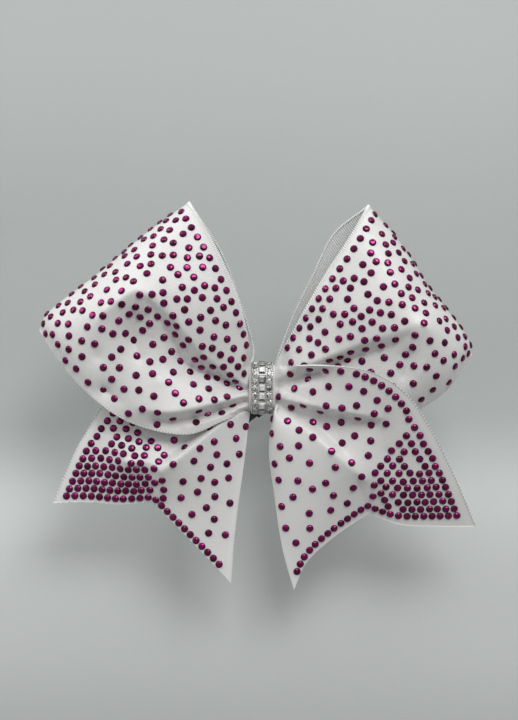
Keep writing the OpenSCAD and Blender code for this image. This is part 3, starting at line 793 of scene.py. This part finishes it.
# Distance wanted between the stones of a loop, by the knot and at its outer corner
LOOP_GAPS = (5.9, 3.9)
# The same on a tail: its inner half, its outer corner and above that corner, and where each gives way
TAIL_GAPS = {
    "left_tail": dict(inner=5.3, corner=2.98, above=4.8, corner_z=-38, rise=21, power=2,
                      corner_x=32, run=14),
    "right_tail": dict(inner=5.6, corner=2.98, above=4.6, corner_z=-48, rise=32, power=1.6,
                       corner_x=28, run=36)}
# Rows along a tail's cut end: how many, how far apart, and the gap at which they give way to scattered stones
ROWS = 15
ROW_PITCH = 3.15
ROW_GAP = 4.8
CUT_GAP = 3.02
BORDER_GAPS = {"loop": 4.6, "tail": 3.5}
SEEDS = {"left_loop": 5, "right_loop": 11, "left_tail": 3, "right_tail": 8}
TRIES = 5000


def stone_gap(name, u, w, p):
    """Distance wanted between stones at a place: close at the outer corners, loose by the knot."""
    if name in LOOPS:
        return lerp(*LOOP_GAPS, max(smooth(1.7 * w), smooth((u - 0.45) / 0.4)))
    g = TAIL_GAPS[name]
    rise = np.clip((p[2] - g["corner_z"]) / g["rise"], 0, 1) ** g["power"]
    outwards = smooth((abs(p[0]) - g["corner_x"]) / g["run"])
    return lerp(g["inner"], lerp(g["corner"], g["above"], rise), outwards)


class StoneBed:
    """The stones taken so far on one section, as (u, w) and as points."""

    def __init__(self):
        self.kept = []
        self.where = []

    def offer(self, u, w, p, gap):
        """Takes a stone unless another is nearer than the gap, and says whether it did."""
        if self.where and np.linalg.norm(np.array(self.where) - p, axis=1).min() < gap:
            return False
        self.kept.append((u, w))
        self.where.append(p)
        return True


def cut_rows(name, bed, pick, low, top, far):
    """Rows of stones that follow a tail's cut end, each at its true distance from the cut."""
    columns = 220
    across = np.linspace(top, low, columns)
    inward = np.linspace(far, 0.2, 160)
    step = np.linalg.norm(np.diff(point(name, inward[:, None], across[None, :]), axis=0), axis=-1)
    from_cut = np.concatenate([np.zeros((1, columns)), np.cumsum(step, axis=0)])
    row = 0.0
    for k in range(ROWS):
        pitch = ROW_PITCH + 0.12 * max(k - 6, 0)
        drift = pick.normal(0, 0.12, columns) + 0.5 * np.sin(9 * across + 2.1 * k) * (top - across)
        distance = row + drift * min(k, 1)
        along = np.array([np.interp(d, from_cut[:, j], inward) for j, d in enumerate(distance)])
        last = None
        for u, w, p in zip(along, across, point(name, along, across)):
            gap = stone_gap(name, u, w, p)
            if k and gap > ROW_GAP:
                continue
            if last is not None and np.linalg.norm(p - last) < (gap if k else CUT_GAP):
                continue
            if bed.offer(u, w, p, min(gap, 0.97 * pitch)):
                last = p
        row += pitch


def stone_places(name):
    """(u, w) of every stone: rows along a tail's cut, then the row along the border, then loose filling."""
    is_loop = name in LOOPS
    low, top = EDGE_MARGIN / RIBBON_W, 1 - EDGE_MARGIN / RIBBON_W
    far = 0.965 if is_loop else 1 - CUT_MARGIN / TAIL_LENGTH
    pick = np.random.default_rng(SEEDS[name])
    fill = np.stack([pick.uniform(0.06, far, TRIES), pick.uniform(low, top, TRIES)], -1)
    bed = StoneBed()
    if not is_loop:
        cut_rows(name, bed, pick, low, top, far)
    walk = np.linspace(0, 1, 500)
    border = lerp(0.12, 0.93, walk) if is_loop else lerp(far, 0.3, walk)
    for u, p in zip(border, point(name, border, np.full(500, top))):
        bed.offer(u, top, p, BORDER_GAPS["loop" if is_loop else "tail"])
    for (u, w), p in zip(fill, point(name, fill[:, 0], fill[:, 1])):
        bed.offer(u, w, p, stone_gap(name, u, w, p))
    top_z = HIDDEN_ABOVE if name == "left_tail" else math.inf
    return np.array([q for q, p in zip(bed.kept, bed.where) if p[2] < top_z])


def cut_gem(girdle, crown, table, peak, painted_facet_lights):
    """A round stone: a girdle, two tiers of crown facets and a table that shows its foiled facets.

    The girdle is (radius, foot, height), the crown and the table (radius, height). The painted reflections
    are those of the girdle, crown, stars, table and back, each as a brightness and how much it varies."""
    radius, foot, height = girdle
    verts = (ring(16, radius, foot) + ring(16, radius, height) + ring(8, *crown, 0.5) + ring(8, *table)
             + [(0, 0, peak)])
    side, tier, star, flat, back = painted_facet_lights
    faces = [(k, (k + 1) % 16, 16 + (k + 1) % 16, 16 + k) for k in range(16)]
    shown = [side] * 16
    for k in range(8):
        a, b, c = 16 + 2 * k, 16 + 2 * k + 1, 16 + (2 * k + 2) % 16
        top, beside, inner, inner_beside = 32 + k, 32 + (k + 1) % 8, 40 + k, 40 + (k + 1) % 8
        faces += [(a, b, top), (b, c, top), (c, beside, top)]
        faces += [(inner, top, inner_beside), (inner_beside, top, beside), (inner, inner_beside, 48)]
        shown += [tier] * 3 + [star] * 2 + [flat]
    faces.append(tuple(reversed(range(16))))
    return np.array(verts), faces, np.array(shown + [back])


# Painted reflections of the fuchsia stones: a dark girdle, crown and back, brighter stars and a brighter
# table
STONE = cut_gem((STONE_R, 0.0, 0.16), (1.2, 0.52), (0.83, 0.74), 0.8,
                [(0.1, 0.05), (0.16, 0.12), (0.45, 0.3), (0.6, 0.4), (0.1, 0.0)])
# Strength of the painted foil reflection: stone by stone, and less on the loops, which face the lamp
STONE_REFLECTION_STRENGTHS = [0.55, 1.0, 1.0, 1.25, 1.5]
LOOP_REFLECTION_SHARE = 0.78


def add_stones(name):
    """All the stones of one section as one piece, each turned and leaning a little its own way."""
    places = stone_places(name)
    shape, shape_faces, shape_painted_facet_lights = STONE
    u, w = places[:, 0], places[:, 1]
    step = 0.012
    centre = point(name, u, w)
    a = point(name, u + step, w) - point(name, u - step, w)
    b = point(name, u, w + step) - point(name, u, w - step)
    for v in (centre, a, b):
        v[:, 1] *= -1
    n = unit(np.cross(a, b) * facing(name))
    a = unit(a)
    t = np.cross(n, a)
    verts, faces, painted_facet_lights = [], [], []
    for k in range(len(places)):
        turn = rng.uniform(0, 2 * math.pi)
        lean = rng.normal(0, 0.035, 2)
        axis = unit(n[k] + a[k] * lean[0] + t[k] * lean[1])
        x = a[k] * math.cos(turn) + t[k] * math.sin(turn)
        x = unit(x - axis * (x @ axis))
        y = np.cross(axis, x)
        base = centre[k] + n[k] * (SATIN_T + 0.02)
        faces += [tuple(i + len(verts) for i in f) for f in shape_faces]
        verts += list(base + shape[:, :1] * x + shape[:, 1:2] * y + shape[:, 2:] * axis)
        reflection_strength = rng.choice(STONE_REFLECTION_STRENGTHS) * (LOOP_REFLECTION_SHARE if name in LOOPS else 1.0)
        varied = shape_painted_facet_lights[:, 0] + shape_painted_facet_lights[:, 1] * rng.uniform(-1, 1, len(shape_painted_facet_lights))
        painted_facet_lights += list(np.clip(varied * reflection_strength, 0, 1))
    obj = make_object(f"{name}_crystals", verts, faces, stone_material, smooth_faces=False, painted_facet_light=painted_facet_lights)
    attach(obj, name, "stones")


for section in LOOPS + TAILS:
    add_stones(section)

# ---------- knot ----------
# The knot's layers are ovals: WRAP_HALF straight above and below the middle, then half a circle.
# Outside and width of the wrap ribbon, thickness of its lap, and its ripple as (height, pitch)
WRAP_OUT = 5.4
WRAP_W = 10.0
LAP_T = 0.46
WRAP_RIPPLE = (0.03, 0.75)
# Outside and width of the metal banding
BAND_OUT = 6.2
BAND_W = 8.5
# The banding's stones: squares in the middle, rounds on both sides
SQUARE = 2.9
SQUARE_PITCH = 3.3
SQUARES = range(-4, 5)
ROUND_R = 1.15
ROUND_PITCH = 2.7
ROUNDS = range(-5, 6)
ROUND_X = (SQUARE + 2 * ROUND_R + 0.5) / 2
# Length of the banding from the front's middle to each end
BAND_REACH = WRAP_HALF + WRAP_OUT * math.radians(125) - 0.1
# The pinched core: its outside, half its width and height, its ribbon and the folds in it
CORE_OUT = 4.0
CORE_HALF = 4.6
CORE_HEIGHT_HALF = 7.4
CORE_RIBBON_T = 0.6
LAYER_PITCH = 2.55
PLEAT_PITCH = 3.7
PLEAT_DEPTH = 0.78
# The cinching thread: where it runs, its three plies, its turns and their spacing
THREAD_PATH_R = 4.42
THREAD_R = 0.32
PLIES = 3
PLY_TWIST = 1.8
THREAD_TURNS = 5
THREAD_PITCH = 0.85


def oval(radius, t):
    """Point and outward direction on the knot's oval, by the length t along it from the front's middle."""
    straight, arc = WRAP_HALF, math.pi * radius
    total = oval_length(radius)
    t = (t + total / 2) % total - total / 2
    side = 1 if t >= 0 else -1
    t = abs(t)
    if t <= straight:
        return np.array([0, -radius, side * t]), np.array([0, -1.0, 0])
    if t <= straight + arc:
        a = (t - straight) / radius
        out = np.array([0, -math.cos(a), side * math.sin(a)])
        return np.array([0, 0, side * straight]) + out * radius, out
    return np.array([0, radius, side * (2 * straight + arc - t)]), np.array([0, 1.0, 0])


def oval_length(radius):
    return 4 * WRAP_HALF + 2 * math.pi * radius


def tube_mesh(rings, closed):
    """Vertices and faces of a skin over a list of equal rings of points."""
    rings = np.asarray(rings, float)
    count, around = rings.shape[:2]
    verts = rings.reshape(-1, 3)
    faces = []
    for i in range(count if closed else count - 1):
        j = (i + 1) % count
        for k in range(around):
            m = (k + 1) % around
            faces.append((i * around + k, j * around + k, j * around + m, i * around + m))
    if not closed:
        faces.append(tuple(range(around)))
        faces.append(tuple((count - 1) * around + k for k in reversed(range(around))))
    return verts, faces


def rounded(cx, cy, radius, start, count):
    """Points of a quarter circle, from a start angle in degrees."""
    angles = [math.radians(start + k * 90 / (count - 1)) for k in range(count)]
    return [(cx + radius * math.cos(a), cy + radius * math.sin(a)) for a in angles]


def band_section(inner, outer, half_width, corner):
    """A strip's cross-section as (x, distance from the oval's core): flat inside, rounded edges outside."""
    x, top = half_width - corner, outer - corner
    across = np.linspace(x, -x, 15)[1:-1]
    return ([(-half_width, inner), (half_width, inner)] + rounded(x, top, corner, 0, 5)
            + [(x, outer) for x in across] + rounded(-x, top, corner, 90, 5))


def oval_strip(section, start, end, steps, ripple=(0.0, 1.0)):
    """A strip laid round the knot between two lengths measured at the wrap's outside."""
    closed = end - start >= oval_length(WRAP_OUT) - 1e-6
    rings, uv = [], []
    for t in np.linspace(start, end, steps + 1)[:steps if closed else steps + 1]:
        base, out = oval(WRAP_OUT, t)
        wave = ripple[0] * math.sin(t * 2 * math.pi / ripple[1])
        rings.append([base + out * (r - WRAP_OUT + (wave if r > WRAP_OUT - 0.3 else 0)) + np.array([x, 0, 0])
                      for x, r in section])
        uv += [(t / UV_UNIT, (x + RIBBON_W / 2) / UV_UNIT) for x, r in section]
    return tube_mesh(rings, closed), uv


def merged(parts):
    """Joins several (vertices, faces) into one pair."""
    verts, faces = [], []
    for v, f in parts:
        faces += [tuple(i + len(verts) for i in face) for face in f]
        verts += [np.asarray(p, float) for p in v]
    return verts, faces


def hardware(name, parts, material, slot, node, body="knot", **more):
    """A rigid piece made of several meshes, which stands for one CAD node."""
    obj = make_object(name, *merged(parts), material, **more)
    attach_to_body(obj, body)
    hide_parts(node)


def core_passes():
    """The pinched ribbon: three fan-folded passes side by side."""
    parts = []
    for layer in (-1, 0, 1):
        z = np.linspace(-CORE_HEIGHT_HALF, CORE_HEIGHT_HALF, 90)
        over = np.maximum(np.abs(z) - WRAP_HALF, 0)
        room = np.sqrt(np.maximum(CORE_OUT ** 2 - over ** 2, 0)) / CORE_OUT
        pleat = PLEAT_DEPTH * np.sin(z * 2 * math.pi / PLEAT_PITCH + layer)
        y = (layer * LAYER_PITCH + pleat) * room
        half = CORE_RIBBON_T / 2
        parts.append(tube_mesh([[(x, b - half, a) for a, b in zip(z, y)]
                                + [(x, b + half, a) for a, b in zip(z[::-1], y[::-1])]
                                for x in np.linspace(-CORE_HALF, CORE_HALF, 14)], False))
    return parts


core_parts = core_passes()
hardware("pinched_ribbon_core", core_parts, satin_material, "white_satin", "pleated_core",
         uv=[(p[2] / UV_UNIT, (p[0] + RIBBON_W / 2) / UV_UNIT) for v, f in core_parts for p in v])


def thread_turn(x_mid):
    """One turn of three-ply twisted thread round the core."""
    steps = 160
    rings = []
    for k in range(steps):
        t = k / steps * oval_length(THREAD_PATH_R)
        base, out = oval(THREAD_PATH_R, t)
        twist = t / PLY_TWIST * 2 * math.pi / PLIES
        around = []
        for a in [m / 18 * 2 * math.pi for m in range(18)]:
            r = THREAD_R + 0.06 * abs(math.cos(PLIES / 2 * (a - twist)))
            around.append(base + out * r * math.cos(a) + np.array([x_mid + r * math.sin(a), 0, 0]))
        rings.append(around)
    return tube_mesh(rings, True)


turns = [thread_turn((k - THREAD_TURNS // 2) * THREAD_PITCH) for k in range(THREAD_TURNS)]
hardware("cinch_thread_turns", turns, thread_material, "thread", "cinch_thread")

# The wrap goes once round the knot and its end laps over the back
wrap_half = oval_length(WRAP_OUT) / 2
wrap, wrap_uv = oval_strip(band_section(WRAP_IN, WRAP_OUT, WRAP_W / 2, 0.2), -wrap_half, wrap_half, 260,
                           WRAP_RIPPLE)
lap, lap_uv = oval_strip(band_section(WRAP_OUT - 0.04, WRAP_OUT + LAP_T, WRAP_W / 2, 0.2),
                         wrap_half - WRAP_HALF, wrap_half + WRAP_HALF, 60, WRAP_RIPPLE)
hardware("wrap_ribbon", [wrap, lap], satin_material, "white_satin", "centre_wrap", uv=wrap_uv + lap_uv)


def on_band(shape, t, x_shift, height):
    """A shape moved to a length t along the banding."""
    base, out = oval(WRAP_OUT, t)
    x = np.array([1.0, 0, 0])
    y = np.cross(out, x)
    return base + out * height + x * x_shift + shape[:, :1] * x + shape[:, 1:2] * y + shape[:, 2:] * out


def square_ring(side, height, cut):
    """A square with its corners cut off."""
    h, c = side / 2, side / 2 - cut
    corners = ((h, -c), (h, c), (c, h), (-c, h), (-h, c), (-h, -c), (-c, -h), (c, -h))
    return [(x, y, height) for x, y in corners]


def step_cut():
    """A step-cut square: two tiers of bevels and a table split into its mirror facets, with painted
    reflections on them.
    """
    levels = [(SQUARE, 0.0, 0.25), (SQUARE, 0.95, 0.25), (SQUARE - 0.55, 1.22, 0.2),
              (SQUARE - 1.15, 1.38, 0.12)]
    verts = [p for level in levels for p in square_ring(*level)] + [(0, 0, 1.38)]
    faces = [(level * 8 + k, level * 8 + (k + 1) % 8, level * 8 + 8 + (k + 1) % 8, level * 8 + 8 + k)
             for level in range(3) for k in range(8)]
    faces += [(24 + k, 24 + (k + 1) % 8, 32) for k in range(8)]
    painted_facet_lights = []
    for i, face in enumerate(faces):
        x, y = np.mean([verts[j][:2] for j in face], axis=0)
        # Painted reflection: bevels on the upper side bright, those on the lower side dark, as under light
        # from above
        painted_bevel_light = 0.95 if y > 0 else 0.1
        painted_facet_lights.append((0.72 if i >= 24 else painted_bevel_light if abs(y) > abs(x) else 0.5, 0.2))
    faces.append(tuple(reversed(range(8))))
    return np.array(verts), faces, np.array(painted_facet_lights + [(0.5, 0.0)])


def crystal_row(gem, spots, height):
    """The same stone at several places on the banding, with its painted foil reflection brighter or darker
    each time.
    """
    shape, faces, painted_facet_lights = gem
    parts, shown = [], []
    for t, x in spots:
        parts.append((on_band(shape, t, x, height), faces))
        reflection_strength = rng.choice([0.55, 0.9, 1.0, 1.2])
        painted_facet_light = (painted_facet_lights[:, 0] + painted_facet_lights[:, 1] * rng.uniform(-1, 1, len(painted_facet_lights))) * reflection_strength
        shown += list(np.clip(0.55 + 1.7 * (painted_facet_light - 0.5), 0, 1))
    return dict(parts=parts, painted_facet_light=shown, smooth_faces=False, material=crystal_material, slot="clear_crystal")


# Painted reflections of the round crystals: mid-grey facets that vary widely
brilliant = cut_gem((ROUND_R, 0.1, 0.92), (ROUND_R * 0.72, 1.18), (ROUND_R * 0.5, 1.28), 1.28,
                    [(0.4, 0.3), (0.5, 0.5), (0.5, 0.5), (0.5, 0.5), (0.4, 0.0)])
square_spots = [(k * SQUARE_PITCH, 0.0) for k in SQUARES]
round_spots = [(k * ROUND_PITCH, side * ROUND_X) for side in (-1, 1) for k in ROUNDS]
hardware("square_crystals", node="band_square_crystals", **crystal_row(step_cut(), square_spots, 0.1))
hardware("round_crystals", node="band_round_crystals", **crystal_row(brilliant, round_spots, 0.0))


def bead(centre, radius):
    """A small metal bead."""
    verts = [centre + radius * np.array([math.cos(a) * math.cos(b), math.sin(b), math.sin(a) * math.cos(b)])
             for b in np.linspace(-1.2, 1.2, 5) for a in np.arange(8) * math.pi / 4]
    return tube_mesh(np.array(verts).reshape(5, 8, 3), False)


def setting_parts():
    """The banding's metal: a strip, beaded rails, bars between the squares and claws round the rounds."""
    strip, _ = oval_strip(band_section(WRAP_OUT, BAND_OUT, BAND_W / 2, 0.25), -BAND_REACH, BAND_REACH, 220)
    face = BAND_OUT - WRAP_OUT
    beads = []
    for side in (-1, 1):
        for t in np.arange(-BAND_REACH + 0.4, BAND_REACH - 0.3, 0.78):
            beads.append((t, side * (BAND_W / 2 - 0.22), face + 0.08, 0.27))
            beads.append((t, side * (SQUARE / 2 + 0.13), face + 0.12, 0.2))
    for k in SQUARES[:-1]:
        beads += [((k + 0.5) * SQUARE_PITCH, x, 1.0, 0.22) for x in np.linspace(-1.25, 1.25, 6)]
    for side in (-1, 1):
        for k in ROUNDS[:-1]:
            beads += [((k + 0.5) * ROUND_PITCH, side * ROUND_X + x, 1.02, 0.27) for x in (-0.62, 0.62)]
    middle = np.zeros((1, 3))
    return [strip] + [bead(on_band(middle, t, x, height)[0], radius) for t, x, height, radius in beads]


hardware("banding_metal", setting_parts(), silver_material, "silver_setting", "band_setting")

# ---------- hair elastic ----------
# Where the cord passes through its keeper, from the knot's centre
CORD_Y = 9.05
CORD_Z = -7.2
CORD_R = 2.3
# The cord's loop: two straight runs and two round bends, leaning so that its left end is low
CORD_BEND = 17.0
CORD_RUN = 14.0
CORD_LENGTH = 2 * CORD_RUN + 2 * math.pi * CORD_BEND
LEAN = math.radians(37)
ELASTIC_X = np.array([math.cos(LEAN), 0, math.sin(LEAN)])
ELASTIC_Z = np.array([-math.sin(LEAN), 0, math.cos(LEAN)])


def elastic_point(x, y, z):
    """From the elastic's own frame, with x along the cord in its keeper, to the knot's."""
    return np.array([0, CORD_Y, CORD_Z]) + ELASTIC_X * x + np.array([0, 1.0, 0]) * y + ELASTIC_Z * z


def cord_path(s):
    """Centre and outward direction of the elastic's loop at a length s from the middle of the keeper."""
    s = (s + CORD_LENGTH / 2) % CORD_LENGTH - CORD_LENGTH / 2
    side = 1 if s >= 0 else -1
    s, half = abs(s), CORD_RUN / 2
    if s < half:
        return side * s, 0.0, 0.0, -1.0
    a = (s - half) / CORD_BEND
    if a < math.pi:
        x, out_x, out_y = half + CORD_BEND * math.sin(a), math.sin(a), -math.cos(a)
        return side * x, CORD_BEND * (1 + out_y), side * out_x, out_y
    return side * (half - (a - math.pi) * CORD_BEND), 2 * CORD_BEND, 0.0, 1.0


def cord_rings(steps, braid=0.22, around=40):
    """Rings of a round cord whose surface rises and falls like a braid."""
    rings = []
    for s in np.linspace(0, CORD_LENGTH, steps + 1)[:-1]:
        x, y, out_x, out_y = cord_path(s)
        points = []
        for a in [k / around * 2 * math.pi for k in range(around)]:
            weave = abs(math.sin(5 * a + s * 1.9)) ** 0.6 + abs(math.sin(5 * a - s * 1.9)) ** 0.6
            r = CORD_R - braid * (1 - weave / 2)
            out, up = r * math.cos(a), r * math.sin(a)
            points.append(elastic_point(x + out_x * out, y + out_y * out, up))
        rings.append(points)
    return rings


hardware("elastic_loop", [tube_mesh(cord_rings(int(620 * FINE)), True)], cord_material, "black_elastic",
         "elastic_cord", body="hair_elastic")

# The sleeve where the cord's ends meet: its outside and half its length
SLEEVE_R = 2.9
SLEEVE_HALF = 3.5


def join_sleeve():
    """The moulded sleeve over the cord's two ends, with a rounded lip at each end."""
    rings = []
    for x in [lerp(-SLEEVE_HALF, SLEEVE_HALF, k / 24) for k in range(25)]:
        edge = SLEEVE_HALF - abs(x)
        lip = 0.35 * (1 - min(edge / 0.5, 1)) ** 2
        groove = 0.12 * (0.5 + 0.5 * math.cos(x * math.pi)) * (edge > 0.6)
        r = SLEEVE_R - lip - groove
        px, py, _, out_y = cord_path(CORD_LENGTH / 2 + x)
        rings.append([elastic_point(px, py + out_y * r * math.cos(a), r * math.sin(a))
                      for a in np.arange(36) * math.pi / 18])
    return tube_mesh(rings, False)


hardware("elastic_sleeve", [join_sleeve()], cord_material, "black_elastic", "elastic_join",
         body="hair_elastic")

# The keeper's outside about the cord, as (y, z), its rounding and its bore
KEEPER_LOW = (-3.15, -3.05)
KEEPER_HIGH = (3.15, 5.05)
KEEPER_ROUND = 0.7
BORE_R = 2.35
# Half the keeper's length along the cord
KEEPER_HALF = 4.0
# The keeper's stitches: their height above the cord, the two sides they stand on, and their spacing
STITCH_Z = 4.1
STITCH_SIDES = (-3.17, 3.12)
STITCH_PITCH = 1.1


def keeper_ring(x, inset):
    """A section of the keeper: the points of its outside and those of its bore."""
    low_y, low_z = KEEPER_LOW[0] + inset + KEEPER_ROUND, KEEPER_LOW[1] + inset + KEEPER_ROUND
    high_y, high_z = KEEPER_HIGH[0] - inset - KEEPER_ROUND, KEEPER_HIGH[1] - inset - KEEPER_ROUND
    outer = []
    for y, z, start in ((high_y, high_z, 0), (low_y, high_z, 90), (low_y, low_z, 180), (high_y, low_z, 270)):
        outer += rounded(y, z, KEEPER_ROUND, start, 9)
    turn = math.atan2(outer[0][1], outer[0][0])
    radius = BORE_R + inset * 0.3
    bore = [(radius * math.cos(turn - a), radius * math.sin(turn - a)) for a in np.arange(48) * math.pi / 24]
    return [elastic_point(x, y, z) for y, z in outer], [elastic_point(x, y, z) for y, z in bore]


def keeper_parts():
    """The tape block with its bore and rounded ends, and rows of stitches near its top."""
    ends = [(KEEPER_HALF, 0.25), (KEEPER_HALF - 0.1, 0.08), (KEEPER_HALF - 0.3, 0.0)]
    stations = ([(-x, inset) for x, inset in ends] + [(x, 0.0) for x in np.linspace(-3.5, 3.5, 15)]
                + ends[::-1])
    outsides, bores = zip(*[keeper_ring(x, inset) for x, inset in stations])
    outer_verts, outer_faces = tube_mesh(outsides, False)
    bore_verts, bore_faces = tube_mesh(bores, False)
    verts, faces = merged([(outer_verts, outer_faces[:-2]),
                           (bore_verts, [tuple(reversed(f)) for f in bore_faces[:-2]])])
    n_out, n_in = len(outsides[0]), len(bores[0])
    for end in (0, len(stations) - 1):
        out_start, in_start = end * n_out, len(stations) * n_out + end * n_in
        hole = np.array(verts[in_start:in_start + n_in])
        near = [int(np.argmin(np.linalg.norm(hole - verts[out_start + k], axis=1))) for k in range(n_out)]
        for k in range(n_out):
            a, b = out_start + k, out_start + (k + 1) % n_out
            chain, last = [near[k]], near[(k + 1) % n_out]
            step = -1 if (chain[0] - last) % n_in <= n_in / 2 else 1
            while chain[-1] != last:
                chain.append((chain[-1] + step) % n_in)
            face = [a, b] + [in_start + c for c in reversed(chain)]
            faces.append(tuple(face if end else reversed(face)))
    stitches = [bead(elastic_point(k * STITCH_PITCH, y, STITCH_Z), 0.16)
                for k in range(-3, 4) for y in STITCH_SIDES]
    return [(verts, faces)] + stitches


hardware("keeper_tape", keeper_parts(), tape_material, "black_tape", "elastic_keeper")


# ---------- stage ----------
def make_paper():
    """Pale card with painted light and shade: lighter just under the knot and towards the top, darker towards
    its foot and on the left; unseen from behind, so that the bow's back shows.
    """
    s = Shader("backdrop")
    where = s.node("ShaderNodeTexCoord").outputs["Object"]
    axes = s.node("ShaderNodeSeparateXYZ")
    s.link(where, axes.inputs[0])
    grain = s.noise(where, 30, 4)
    # Painted light and shade on the card: lighter just under the knot, where the tails' shadows fall, and
    # lighter towards the top; painted shade towards the card's foot.
    painted_light_below = s.ramp(axes.outputs[2], 0.0, -0.045)
    painted_shade_bottom = s.ramp(axes.outputs[2], -0.09, -0.15)
    above = s.ramp(axes.outputs[2], 0.03, 0.16)
    light = s.math("SUBTRACT", s.math("MULTIPLY_ADD", above, 0.4, painted_light_below), s.math("MULTIPLY", painted_shade_bottom, 0.6))
    # Painted shade on the card's left, where the bow's shadow falls
    painted_shade_left = s.math("MULTIPLY", s.ramp(axes.outputs[0], 0.1, -0.1), 0.1)
    amount = s.math("SUBTRACT", s.math("SUBTRACT", light, painted_shade_left), s.math("MULTIPLY", grain, 0.03))
    s.link(s.mix(amount, (0.46, 0.48, 0.474, 1), (0.67, 0.69, 0.68, 1)), s.bsdf.inputs["Base Color"])
    s.set(Roughness=0.8)
    seen = s.math("MULTIPLY", s.node("ShaderNodeNewGeometry").outputs["Backfacing"],
                  s.node("ShaderNodeLightPath").outputs["Is Camera Ray"])
    mixer = s.node("ShaderNodeMixShader")
    s.link(seen, mixer.inputs[0])
    s.link(s.bsdf.outputs[0], mixer.inputs[1])
    s.link(s.node("ShaderNodeBsdfTransparent").outputs[0], mixer.inputs[2])
    s.link(mixer.outputs[0], s.tree.nodes["Material Output"].inputs["Surface"])
    return s.material


def backdrop():
    """A pale sweep that leaves room behind the bow for its tails and its elastic to swing back."""
    # (z, y) of the sweep before it is smoothed
    profile = [(-1500, -120), (-400, 16), (-120, 27), (-80, 30), (-60, 34), (-45, 40), (-33, 47), (-20, 55),
               (0, 60), (60, 66), (400, 80), (1500, 120)]
    far = np.linspace(402, 1500, 80)
    z = np.concatenate([-far[::-1], np.linspace(-400, 400, 201), far])
    y = np.interp(z, *zip(*profile))
    for _ in range(30):
        y[1:-1] = (y[:-2] + 2 * y[1:-1] + y[2:]) / 4
    verts = [(x, b, c) for b, c in zip(y, z) for x in (-1500, 0, 1500)]
    faces = [(i * 3 + j, i * 3 + j + 1, (i + 1) * 3 + j + 1, (i + 1) * 3 + j)
             for i in range(len(z) - 1) for j in range(2)]
    return make_object("backdrop", verts, faces, make_paper())


def area_light(name, where, target, size, power):
    data = bpy.data.lights.new(name, "AREA")
    data.shape = "RECTANGLE"
    data.size, data.size_y = size
    data.energy = power
    light = bpy.data.objects.new(name, data)
    light.location = where
    light.rotation_euler = (Vector(target) - Vector(where)).to_track_quat("-Z", "Y").to_euler()
    bpy.context.scene.collection.objects.link(light)


def studio_world():
    """Soft light from all round: dim from below, grey at eye level, pale from above."""
    world = bpy.data.worlds.new("studio")
    world.use_nodes = True
    tree = world.node_tree
    height = tree.nodes.new("ShaderNodeSeparateXYZ")
    tree.links.new(tree.nodes.new("ShaderNodeTexCoord").outputs["Generated"], height.inputs[0])
    half = tree.nodes.new("ShaderNodeMath")
    half.operation = "MULTIPLY_ADD"
    half.inputs[1].default_value = half.inputs[2].default_value = 0.5
    tree.links.new(height.outputs[2], half.inputs[0])
    sky = tree.nodes.new("ShaderNodeValToRGB")
    low, high = sky.color_ramp.elements
    low.color = (0.22, 0.222, 0.22, 1)
    high.color = (0.80, 0.815, 0.81, 1)
    sky.color_ramp.elements.new(0.5).color = (0.34, 0.346, 0.344, 1)
    tree.links.new(half.outputs[0], sky.inputs[0])
    tree.links.new(sky.outputs[0], tree.nodes["Background"].inputs[0])
    return world


backdrop()
area_light("key", (0.26, -0.74, 0.62), (0, 0, 0), (0.5, 0.36), 3.55)
area_light("top", (-0.1, -0.15, 0.8), (0, 0, 0), (0.8, 0.3), 0.8)
area_light("fill", (-0.55, -0.28, 0.5), (0, 0, 0.03), (0.5, 0.5), 1.5)
bpy.context.scene.world = studio_world()
bpy.context.scene.view_settings.view_transform = "Standard"

# ---------- camera ----------
# The picture's height at the knot and the camera's distance, in metres, and where the picture's centre falls
FRAME_HEIGHT = 0.281
CAMERA_DISTANCE = 0.62
CENTRE_X = -1.2
CENTRE_Z = 10.9
camera_data = bpy.data.cameras.new("camera")
camera_data.sensor_width = 36.0
camera_data.lens = camera_data.sensor_width * CAMERA_DISTANCE / FRAME_HEIGHT
camera = bpy.data.objects.new("camera", camera_data)
camera.location = ((KNOT[0] + CENTRE_X) * MM, KNOT[1] * MM - CAMERA_DISTANCE, (KNOT[2] + CENTRE_Z) * MM)
camera.rotation_euler = (math.pi / 2, 0, 0)
bpy.context.scene.collection.objects.link(camera)
bpy.context.scene.camera = camera
